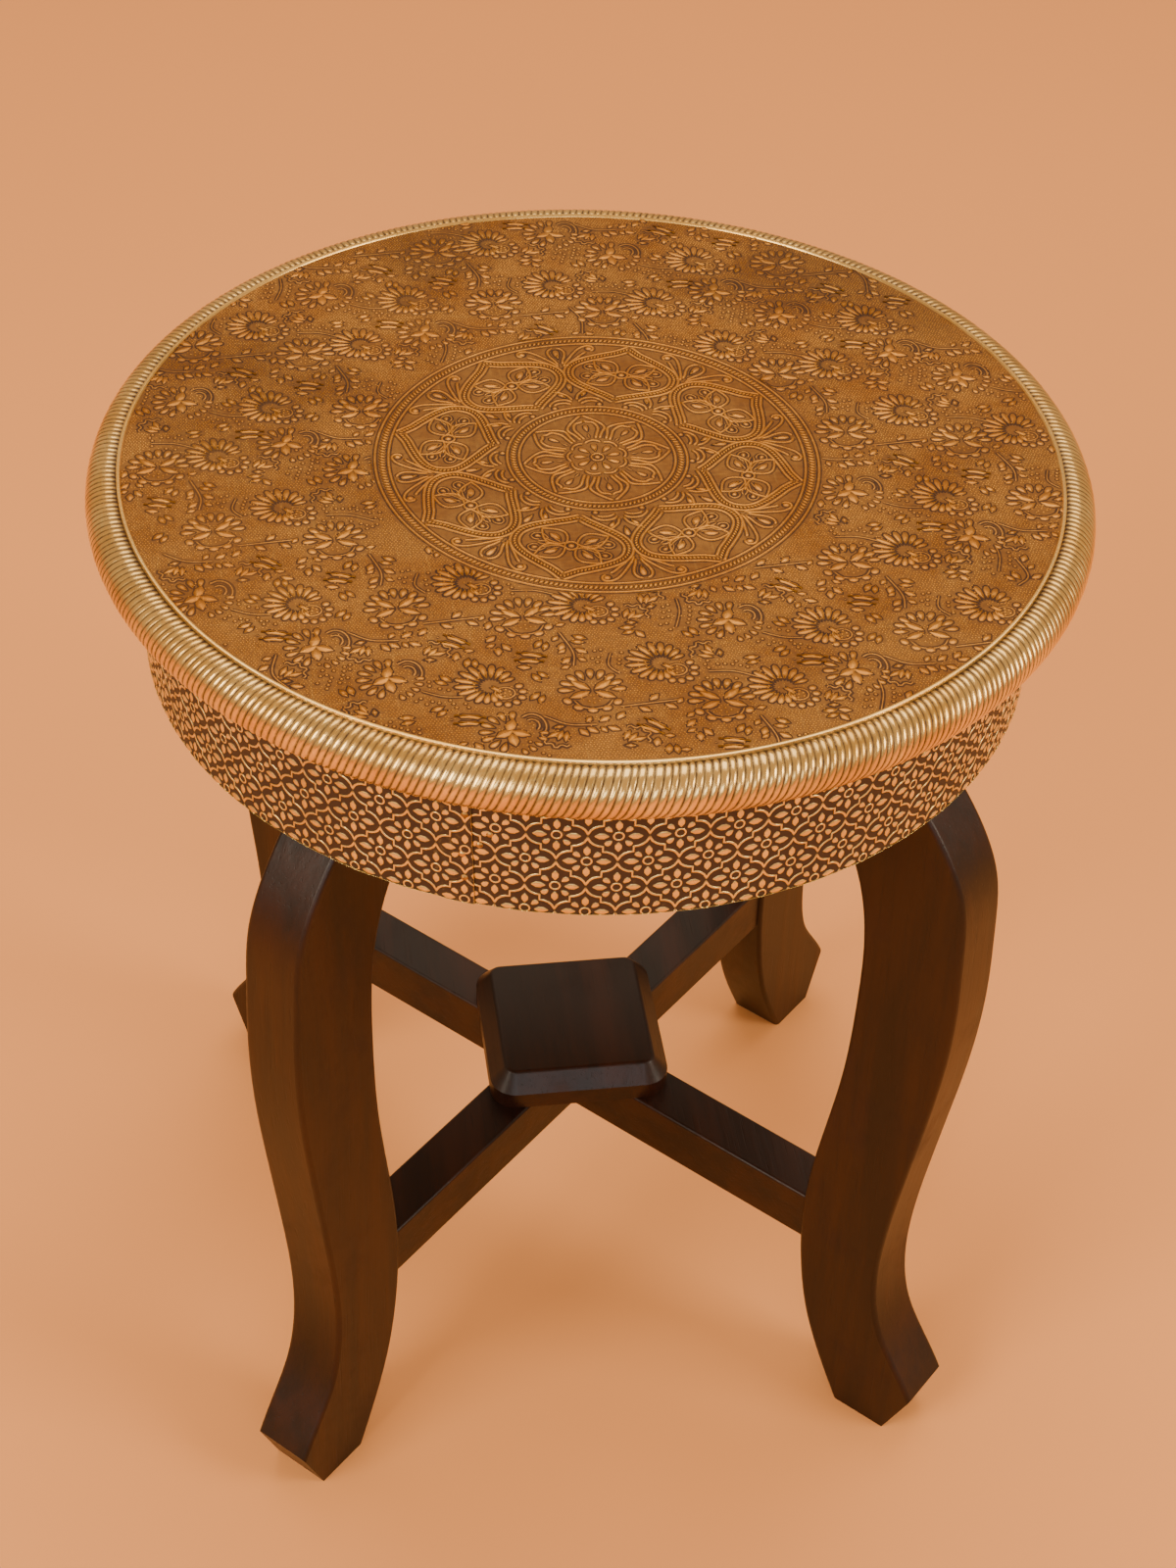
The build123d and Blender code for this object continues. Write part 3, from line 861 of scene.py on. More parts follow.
@dataclass
class RibbedRim:
    """The rim band: a groove beside the face, then a bead of slanted ribs over the board's edge."""

    sizes: TableSizes
    ribs: int = 418
    rib_rise: float = 0.5
    columns: int = 6
    rows: int = 26
    first: float = 105.0
    last: float = -80.0
    slant: float = 3.0
    groove_lift: float = 0.9
    seed: int = 5

    def __post_init__(self) -> None:
        """Works out where the bead's section is centred."""
        self.radius = (self.sizes.face - self.sizes.rim_bottom) / 2
        self.centre = (self.sizes.rim_radius - self.radius, self.sizes.rim_bottom + self.radius)

    def section(self) -> Path:
        """The closed section of the plain band, under the ribs."""
        radius, height = self.centre
        outer = self.radius - self.rib_rise
        bead = []
        for index in range(25):
            x, y = polar(outer, -90 + index * (195 / 24))
            bead.append((radius + x, height + y))
        inner = []
        for index in range(13):
            x, y = polar(outer - self.sizes.sheet, 75 - index * (165 / 12))
            inner.append((radius + x, height + y))
        groove_in = self.sizes.face_radius - 0.3
        groove_out = bead[-1][0]
        floor = self.sizes.groove_floor + self.groove_lift
        top = [
            (groove_out - 0.35, bead[-1][1] - 0.35),
            (groove_out - 0.6, floor + 0.3),
            (groove_out - 0.9, floor),
            (groove_in, floor),
            (groove_in, floor - self.sizes.sheet),
            (groove_out + 0.6, floor - self.sizes.sheet),
        ]
        start = (self.sizes.apron_radius, self.sizes.rim_bottom)
        end = (self.sizes.apron_radius, self.sizes.rim_bottom + self.sizes.sheet)
        return [start] + bead + top + inner + [end]

    def rib(self) -> Shape:
        """One rib as a flat tile from 0 to 1 both ways, with a round crest and sunk ends."""
        Bench.unit_grid(self.columns, self.rows)
        for column in range(1, self.columns):
            share = column / self.columns
            Bench.choose(lambda co: abs(co.x - share) < 0.01)
            rise = self.rib_rise * math.sin(math.pi * share) ** 0.9
            bpy.ops.transform.translate(value=(0, 0, rise))
        for row, sunk in ((0, 0.0), (1, 0.55), (2, 0.85)):
            ends = (row / self.rows, 1 - row / self.rows)
            Bench.choose(lambda co: min(abs(co.y - ends[0]), abs(co.y - ends[1])) < 0.001)
            bpy.ops.transform.resize(value=(1, 1, sunk), center_override=(0, 0, 0))
        return Bench.take(self.rib_rise)

    def on_bead(self, points: np.ndarray) -> np.ndarray:
        """Wraps (rib count round, share down the bead, rise) on to the bead, slanting downwards.

        Args:
            points: flat places.

        Returns:
            Places on the table, in millimetres.
        """
        down = np.radians(self.first + (self.last - self.first) * points[:, 1])
        turn = np.radians(points[:, 0] * 360 / self.ribs - self.slant * points[:, 1] ** 1.5)
        reach = self.radius - self.rib_rise + points[:, 2]
        radius = self.centre[0] + reach * np.cos(down)
        height = self.centre[1] + reach * np.sin(down)
        return np.column_stack([radius * np.cos(turn), radius * np.sin(turn), height])

    def build(self) -> Object:
        """Builds the rim.

        Returns:
            The rim as one object.
        """
        core = Bench.spun("rim_core", self.section(), 288)
        Bench.mark(core, lambda height: 0.0)
        tile = self.rib()
        rng = np.random.default_rng(self.seed)
        starts = np.arange(self.ribs) + rng.uniform(-0.09, 0.09, self.ribs)
        ends = np.append(starts[1:], starts[0] + self.ribs)
        rises = rng.uniform(0.82, 1.0, self.ribs)
        copies = []
        for start, end, rise in zip(starts, ends, rises):
            points = tile.points * (end - start, 1.0, rise) + (start, 0.0, 0.0)
            copies.append(Shape(points, tile.tones, tile.corners, tile.sizes))
        ribs = Shape.joined(copies).object("rim_ribs", self.on_bead)
        Bench.clear()
        ribs.select_set(True)
        bpy.context.view_layer.objects.active = ribs
        bpy.ops.object.mode_set(mode="EDIT")
        bpy.ops.mesh.select_all(action="SELECT")
        bpy.ops.mesh.remove_doubles(threshold=WELD)
        Bench.finish_solid()
        return Bench.join("embossed_rim_band", [core, ribs])


# ---- Apron -----------------------------------------------------------------------------------


@dataclass
class LatticeApron:
    """The apron band: a wrapped sheet with a lattice of lobed cells, each round a flower."""

    sizes: TableSizes
    cells: int = 51
    row: float = 12.65
    first_row: float = 1.8
    rows: int = 5
    odd_start: float = -91.1
    line: float = 1.1
    line_rise: float = 0.38
    petal_rise: float = 0.5
    lap: tuple[float, float] = (-113.9, -111.4)
    lap_blend: float = 2.4
    hem_width: float = 9.0
    pieces: int = 3
    seed: int = 8

    def __post_init__(self) -> None:
        """Works out the pitch of the cells along the sheet."""
        self.pitch = math.tau * self.sizes.apron_radius / self.cells

    def edge_line(self) -> Path:
        """One shared line, from a cell's right tip down to the point of the cell below."""
        reach = self.pitch / 4
        drop = self.row * 0.4
        step = self.row * 0.2
        tip = self.pitch / 2
        quarter = [math.radians(90 * index / 5) for index in range(6)]
        upper = [(tip - reach * (1 - math.cos(t)), -drop * math.sin(t)) for t in quarter]
        lower = [
            (tip - reach - reach * math.sin(t), -drop - step - drop * (1 - math.cos(t)))
            for t in quarter
        ]
        return upper + lower

    def cell(self) -> Shape:
        """One cell: its two lower lines, faint inner arcs, and the flower."""
        line = self.edge_line()
        lines = Bench.wires([line, [(-x, y) for x, y in line]], self.line, self.line_rise, fine=True)
        half = self.pitch / 2
        arcs = []
        for side in (-1, 1):
            heights = [float(y) for y in range(-3, 4)]
            arcs.append([(side * (half - 2.4 - 0.9 * abs(y) ** 1.1), y) for y in heights])
        faint = Bench.wires(arcs, 0.55, 0.12)
        rise = self.petal_rise
        long_petal = Bench.blister(6.0, 3.0, rise, pointed(1.15, 0.75), 10, 0.3, 0.1)
        drop = Bench.blister(3.7, 2.8, rise * 0.9, widening(0.95, -0.35), 8, 0.3, 0.1)
        parts = [lines, faint, Bench.ring(1.85, 0.85, 0.3)]
        for turn in (0, 180):
            parts.append(long_petal.placed(*polar(6.2, turn), turn))
            parts.append(long_petal.placed(*polar(5.2, turn + 90), turn + 90, (0.86, 0.92, 1)))
        for turn in (42, 138, 222, 318):
            parts.append(drop.placed(*polar(4.9, turn), turn, (-1, 1, 1)))
        return Shape.joined(parts)

    def between_edges(self, height: np.ndarray) -> np.ndarray:
        """Squeezes heights in between the hem and the rim."""
        low = self.sizes.hem + 0.5
        high = self.sizes.rim_bottom - 0.3
        height = np.where(height < low, low + (height - low) * 0.03, height)
        return np.where(height > high, high + (height - high) * 0.03, height)

    def on_sheet(self, points: np.ndarray) -> np.ndarray:
        """Wraps (along the sheet, height, rise) round the apron.

        Args:
            points: flat places.

        Returns:
            Places on the table, in millimetres.
        """
        turn = points[:, 0] / self.sizes.apron_radius
        radius = self.sizes.apron_radius + points[:, 2] - SUNK
        height = self.between_edges(points[:, 1])
        return np.column_stack([radius * np.cos(turn), radius * np.sin(turn), height])

    def lap_edge(self, height: np.ndarray) -> np.ndarray:
        """The angle of the lap's slightly slanted edge at some heights, in degrees."""
        middle = (self.sizes.hem + self.sizes.rim_bottom) / 2
        return self.lap[1] - (height - middle) * 0.012

    def on_lap(self, points: np.ndarray) -> np.ndarray:
        """Wraps flat places on to the lapped end, which rises off the sheet to its full thickness.

        Args:
            points: flat places.

        Returns:
            Places on the table, in millimetres.
        """
        height = self.between_edges(points[:, 1])
        degrees = np.degrees(points[:, 0] / self.sizes.apron_radius)
        edge = self.lap_edge(height)
        degrees = np.where(degrees > edge, edge + (degrees - edge) * 0.01, degrees)
        start = self.lap[0] - self.lap_blend
        out = np.where(degrees < start, -self.sizes.sheet / 2, points[:, 2])
        degrees = np.where(degrees < start, start + (degrees - start) * 0.01, degrees)
        share = np.clip((degrees - start) / self.lap_blend, 0.0, 1.0)
        lift = self.sizes.sheet * share * share * (3 - 2 * share)
        turn = np.radians(degrees)
        radius = self.sizes.apron_radius + lift + out - SUNK
        return np.column_stack([radius * np.cos(turn), radius * np.sin(turn), height])

    def rubbed(self, cell: Shape, turn: float, rng: np.random.Generator) -> Shape:
        """A copy of a cell, worn flatter by the seam and crushed a little at random."""
        from_seam = abs(turn - self.lap[1])
        worn = 0.45 + 0.55 * min(1.0, from_seam / 6.0)
        press = worn * rng.uniform(0.85, 1.05)
        return cell.placed(rng.uniform(-0.15, 0.15), rng.uniform(-0.15, 0.15), 0.0, (1, 1, press))

    def base(self) -> Object:
        """The plain wrapped sheet with its folded hem."""
        outer = self.sizes.apron_radius
        hem = self.sizes.hem
        top = self.sizes.rim_bottom + self.sizes.sheet
        thick = self.sizes.sheet
        inner = outer - self.hem_width
        section = [
            (outer - thick, top),
            (outer - thick, hem + thick),
            (inner, hem + thick),
            (inner, hem),
            (outer - 0.7, hem),
            (outer - 0.25, hem + 0.12),
            (outer - 0.05, hem + 0.4),
            (outer, hem + 0.9),
            (outer, (hem + top) / 2),
            (outer, top),
        ]
        return Bench.spun("apron_sheet", section, 306)

    def lap_strip(self) -> Shape:
        """The plain end of the sheet that laps over the seam, flat, with its turned edge."""
        Bench.unit_grid(12, 8)
        Bench.choose(lambda co: co.x > 0.999)
        bpy.ops.mesh.extrude_region_move(TRANSFORM_OT_translate={"value": (0, 0, -self.sizes.sheet)})
        flat = Bench.take(self.sizes.sheet)
        at_end = (flat.points[:, 0] > 0.999) & (flat.points[:, 2] > -CREVICE)
        flat = Shape(flat.points, np.where(at_end, 0.8, flat.tones), flat.corners, flat.sizes)
        start = math.radians(self.lap[0] - self.lap_blend) * self.sizes.apron_radius
        end = math.radians(self.lap[1] + 0.6) * self.sizes.apron_radius
        low = self.sizes.hem + 0.3
        return flat.placed(start, low, 0.0, (end - start, self.sizes.rim_bottom - low, 1))

    def build(self) -> list[Object]:
        """Builds the apron's sheet and its raised work.

        Returns:
            The sheet, then the raised work in a few pieces round the table.
        """
        cell = self.cell()
        rng = np.random.default_rng(self.seed)
        thirds: list[list[Shape]] = [[] for _ in range(self.pieces)]
        lapped = [self.lap_strip()]
        for level in range(self.rows):
            offset = 0.0 if level % 2 == 0 else 0.5
            for index in range(self.cells):
                turn = self.odd_start + (index + offset) * 360 / self.cells
                turn = (turn + 180) % 360 - 180
                along = math.radians(turn) * self.sizes.apron_radius
                height = self.sizes.hem + self.first_row + level * self.row
                worn = self.rubbed(cell, turn, rng).placed(along, height)
                thirds[slice_of(turn, self.pieces)].append(worn)
                reach = 180 / self.cells
                if self.lap[0] - self.lap_blend - reach < turn < self.lap[1] + reach:
                    lapped.append(worn)
        base = self.base()
        Bench.mark(base, lambda height: 0.7 if height < self.sizes.hem + 0.6 else 0.0)
        built = [base, Shape.joined(lapped).object("apron_lapped_end", self.on_lap)]
        for index, shapes in enumerate(thirds):
            built.append(Shape.joined(shapes).object(f"apron_lattice_{index + 1}", self.on_sheet))
        return built


# ---- Top: medallion --------------------------------------------------------------------------


@dataclass
class Medallion:
    """The round centre of the top: a rope border, eight onion-shaped lobes and a central flower."""

    centre: Point = (1.5, -2.0)
    first_axis: float = -17.5
    lobes: int = 8
    thin: float = 1.3
    thick: float = 1.5
    rise: float = 0.42
    outer: float = 89.0
    lobe_side: tuple[Point, ...] = (
        (42.0, 0.0),
        (44.5, 4.0),
        (46.4, 8.0),
        (51.0, 16.8),
        (55.6, 21.2),
        (61.2, 22.2),
        (65.9, 20.4),
        (70.3, 15.8),
        (74.6, 9.1),
        (77.0, 5.0),
        (81.2, 0.0),
    )

    def rope(self, path: Path, closed: bool, wide: float, pitch: float, lean: float) -> Shape:
        """Slanted strokes one after another along a path, like a twisted cord.

        Args:
            path: the middle of the cord.
            closed: whether the path comes back to its start.
            wide: width of the cord.
            pitch: distance between strokes.
            lean: degrees between a stroke and the path.

        Returns:
            The strokes as one shape.
        """
        stroke = Bench.blister(wide * 1.05, pitch * 0.82, self.rise, lambda along: 1.0, 8, 0.3, 0.2)
        stepped = smooth(path, pitch, closed)
        return Shape.joined(
            stroke.placed(x, y, along + lean)
            for (x, y), along in zip(stepped, directions(stepped, closed))
        )

    def border(self) -> Shape:
        """The outer border and the two rings round the central flower."""
        rings = [circle(self.outer, 2.0), circle(83.6, 2.0), circle(36.2), circle(31.4)]
        parts = [
            Bench.wires(rings, self.thin, self.rise, True, True),
            self.rope(circle(86.2, 3.0), True, 3.0, 1.9, 62),
            self.rope(circle(33.8, 2.5), True, 2.6, 1.8, 62),
        ]
        return Shape.joined(parts)

    def lobe_frame(self) -> Shape:
        """The cord of one lobe between its two lines."""
        side = list(self.lobe_side)
        half = smooth(side, 1.0)
        inner = beside(half, 1.75)
        outer = beside(half, -1.75)
        inner = [(x, y) for x, y in inner if y > 0.35]
        outer = [(x, y) for x, y in outer if y > 0.3]
        inner = [(inner[0][0] + 0.5, 0.0)] + inner + [(inner[-1][0] - 0.2, 0.0)]
        outer = [(outer[0][0] - 0.6, 0.0)] + outer + [(outer[-1][0] + 0.4, 0.0)]
        edges = [inner, mirrored(inner), outer, mirrored(outer)]
        lines = Bench.wires(edges, self.thick, self.rise, fine=True)
        cord = self.rope(half[1:-1], False, 1.9, 1.5, 40)
        return Shape.joined([lines, cord, cord.placed(scale=(1, -1, 1))])

    def lobe_flower(self) -> Shape:
        """The four-petal flower with bud sprays inside a lobe, about its own middle."""
        outline = Bench.wires([almond(13.2, 9.2, 2.6)], 1.25, self.rise, True, True)
        seed = Bench.blister(
            6.8, 3.1, self.rise, lambda along: 1.1 - 0.7 * along**2 + 0.1 * along, 10, 0.3, 0.5
        )
        petal = Shape.joined([outline, seed.placed(8.6, 0)])
        bud = Bench.blister(3.0, 2.3, self.rise * 1.1, widening(0.95, 0.25), 8)
        leaf = Bench.blister(4.4, 1.9, self.rise, pointed(1.1, 0.7), 8)
        hood_points = [(9.4, 0.2), (12.0, 2.1), (14.4, 2.5), (16.4, 1.2), (16.6, -0.9)]
        hood = smooth(hood_points + [(14.6, -2.0), (12.2, -1.2)])
        stalks = [
            smooth([(4.2, 0.5), (7.5, 1.4), (11.0, 2.9), (12.4, 3.4)]),
            smooth([(4.0, 1.4), (6.8, 3.2), (9.6, 5.6)]),
            smooth([(8.6, 0.6), (11.6, 1.0), (13.8, 0.0)]),
        ]
        spray = Shape.joined(
            [
                Bench.wires(stalks + [mirrored(stalk) for stalk in stalks], 0.9, self.rise * 0.9),
                bud.placed(*polar(14.2, 15), 15),
                bud.placed(*polar(14.2, -15), -15),
                Bench.wires([hood], 0.85, self.rise * 0.9).placed(turn=14),
                Bench.wires([mirrored(hood)], 0.85, self.rise * 0.9).placed(turn=-14),
                leaf.placed(8.6, 0),
            ]
        )
        eye = Bench.blister(2.9, 2.9, self.rise * 1.1, sides=10)
        parts = [Bench.ring(2.6, 1.1, self.rise * 1.1), eye]
        parts += [petal.placed(turn=turn) for turn in (56, 124, -56, -124)]
        parts += [spray.placed(turn=90), spray.placed(turn=-90)]
        return Shape.joined(parts)

    def between_lobes(self) -> Shape:
        """The curls and drops in the gaps between two lobes, along the gap's own axis."""
        drop = Bench.blister(6.8, 3.4, self.rise * 1.1, widening(0.85, 0.35), 10)
        ball = Bench.blister(2.5, 2.5, self.rise * 1.2, sides=8)
        big_ball = Bench.blister(3.1, 3.1, self.rise * 1.2, sides=10)
        curls = [
            smooth([(40.0, 1.0), (42.2, 3.4), (42.4, 7.4), (40.2, 10.4), (37.8, 11.2)]),
            smooth([(38.4, 1.6), (40.0, 4.2), (40.0, 7.6), (38.6, 9.4)]),
            smooth([(41.4, 0.8), (45.2, 2.2), (48.2, 5.4), (48.8, 7.4)]),
        ]
        stretch = [(66.6, 1.0), (69.4, 2.2), (72.6, 4.4), (76.6, 7.4), (79.8, 10.6)]
        hook = [(81.0, 14.0), (79.8, 16.2), (77.6, 16.0), (76.6, 14.2)]
        scrolls = [
            smooth(stretch + hook),
            smooth([(66.4, 1.8), (69.4, 4.2), (72.8, 8.0), (75.6, 11.4), (76.4, 13.2)]),
            smooth([(68.4, 0.9), (71.6, 1.6), (74.6, 2.9), (78.0, 3.5), (80.6, 2.4), (81.6, 0.3)]),
        ]
        lines = curls + scrolls
        parts = [
            Bench.wires(lines + [mirrored(line) for line in lines], 1.4, self.rise, fine=True),
            drop.placed(50.6, 0, 0, (1, 0.9, 1)),
            drop.placed(76.4, 0, 0, (1.1, 1.0, 1)),
        ]
        for side in (1, -1):
            parts.append(drop.placed(45.4, 4.4 * side, 32 * side, (0.72, 0.8, 1)))
            parts.append(ball.placed(36.9, 9.4 * side))
            parts.append(big_ball.placed(78.7, 14.4 * side))
        return Shape.joined(parts)

    def ogee(self, half_width: float, start: Point, tip: float) -> Path:
        """Half of one onion-shaped petal line of the central flower."""
        points = [start, (16.4, half_width * 0.72), (20.4, half_width), (24.4, half_width * 0.78)]
        return smooth(points + [(tip - 1.6, half_width * 0.27), (tip, 0.0)])

    def flower(self) -> Shape:
        """The central flower: a rosette of drops in a scalloped line, in eight nested petals."""
        petal = [
            self.ogee(7.6, (12.4, 3.7), 30.2),
            self.ogee(4.9, (12.6, 2.1), 26.8),
        ]
        outlines = petal + [mirrored(line) for line in petal]
        lines = Bench.wires(outlines, 1.5, self.rise, fine=True)
        stalk = Bench.wires([[(12.6, 0.0), (15.0, 0.1), (18.5, 0.0)]], 1.0, self.rise)
        stamen = Bench.blister(5.4, 2.6, self.rise, widening(0.9, 0.35), 8, 0.3, 0.6)
        unit = Shape.joined([lines, stalk, stamen.placed(20.6, 0)])
        parts = [unit.placed(turn=45 * index + 22.5) for index in range(self.lobes)]
        drop = Bench.blister(6.0, 3.6, self.rise, widening(0.75, 0.4), 10, 0.2, 0.4)
        arc = [polar(12.0 - 1.6 * (t / 20) ** 2, t) for t in range(-20, 21, 5)]
        scallop = Bench.wires([arc], 1.3, self.rise, fine=True)
        for index in range(9):
            parts.append(drop.placed(6.6, 0).placed(turn=40 * index + 110))
            parts.append(scallop.placed(turn=40 * index + 110))
        parts.append(Bench.ring(2.5, 0.9, self.rise * 1.1))
        parts.append(Bench.blister(2.5, 2.5, self.rise * 1.1, sides=10, skirt=0.4))
        return Shape.joined(parts)

    def build(self) -> Shape:
        """Builds the medallion in the top's flat coordinates."""
        lobe = Shape.joined([self.lobe_frame(), self.lobe_flower().placed(61, 0)])
        gap = self.between_lobes().placed(turn=180 / self.lobes)
        unit = Shape.joined([lobe, gap])
        parts = [self.border(), self.flower()]
        parts += [unit.placed(turn=360 / self.lobes * index) for index in range(self.lobes)]
        return Shape.joined(parts).placed(*self.centre, self.first_axis)


# ---- Top: flower field -----------------------------------------------------------------------


class Motif(Enum):
    """The plants of the field."""

    DAISY = "daisy"
    CROSS_FLOWER = "cross flower"
    CUP_ROSE = "cup rose"
    BUD = "bud"
    LANCE_LEAF = "lance leaf"
    SPLIT_LEAF = "split leaf"


class Spray(Enum):
    """The kinds of stem with things along it."""

    LEAVES = "leaf pairs"
    BERRIES = "berries"


@dataclass(frozen=True)
class Planting:
    """One plant of the repeat: which, where and how it is turned."""

    motif: Motif
    x: float
    y: float
    turn: float = 0.0


@dataclass(frozen=True)
class Stem:
    """One stem of the repeat: what grows on it and the points it goes through."""

    kind: Spray
    path: tuple[Point, ...]


REPEAT = ((63.0, 77.0), (129.0, 22.0))

PLANTS = (
    Planting(Motif.DAISY, 8, -137),
    Planting(Motif.DAISY, 50, -155),
    Planting(Motif.DAISY, 73, -122),
    Planting(Motif.CROSS_FLOWER, 25, -158),
    Planting(Motif.CROSS_FLOWER, 108, -126),
    Planting(Motif.CUP_ROSE, 35, -112),
    Planting(Motif.CUP_ROSE, 76, -146),
    Planting(Motif.BUD, 0, -105),
    Planting(Motif.BUD, 53, -98),
    Planting(Motif.BUD, 7, -96, 20),
    Planting(Motif.LANCE_LEAF, 88, -105, -15),
    Planting(Motif.LANCE_LEAF, 6, -123, -30),
    Planting(Motif.LANCE_LEAF, 62, -138, -5),
    Planting(Motif.LANCE_LEAF, -2, -170, -35),
    Planting(Motif.SPLIT_LEAF, -3, -114, 10),
    Planting(Motif.SPLIT_LEAF, 107, -96, -25),
    Planting(Motif.SPLIT_LEAF, 93, -98, 60),
    Planting(Motif.SPLIT_LEAF, 126, -93, 15),
    Planting(Motif.SPLIT_LEAF, 52, -132, 30),
    Planting(Motif.SPLIT_LEAF, 55, -115, -40),
    Planting(Motif.SPLIT_LEAF, 60, -118, -20),
    Planting(Motif.BUD, 93, -150, 200),
    Planting(Motif.BUD, 24, -130, 100),
    Planting(Motif.SPLIT_LEAF, 88, -128, 50),
    Planting(Motif.SPLIT_LEAF, 66, -106, 80),
    Planting(Motif.SPLIT_LEAF, 20, -118, -60),
    Planting(Motif.SPLIT_LEAF, 40, -136, 10),
    Planting(Motif.SPLIT_LEAF, 90, -116, 120),
)

STEMS = (
    Stem(Spray.LEAVES, ((100, -90), (104, -103), (103, -112))),
    Stem(Spray.LEAVES, ((88, -138), (97, -144), (108, -145))),
    Stem(Spray.LEAVES, ((11, -152), (15, -163), (14, -175))),
    Stem(Spray.LEAVES, ((30, -160), (38, -168), (40, -180))),
    Stem(Spray.LEAVES, ((50, -81), (62, -80), (74, -79))),
    Stem(Spray.LEAVES, ((28, -88), (38, -91), (50, -89))),
    Stem(Spray.LEAVES, ((60, -92), (64, -101), (68, -108))),
    Stem(Spray.BERRIES, ((18, -96), (18, -105), (15, -115))),
    Stem(Spray.BERRIES, ((46, -120), (54, -124), (62, -125))),
    Stem(Spray.BERRIES, ((22, -141), (32, -142), (42, -147))),
    Stem(Spray.BERRIES, ((83, -155), (83, -160), (82, -166))),
    Stem(Spray.LEAVES, ((20, -124), (26, -118), (24, -106))),
    Stem(Spray.LEAVES, ((62, -148), (60, -160), (66, -170))),
    Stem(Spray.LEAVES, ((90, -112), (84, -104), (78, -96))),
    Stem(Spray.BERRIES, ((118, -104), (116, -112), (120, -118))),
)


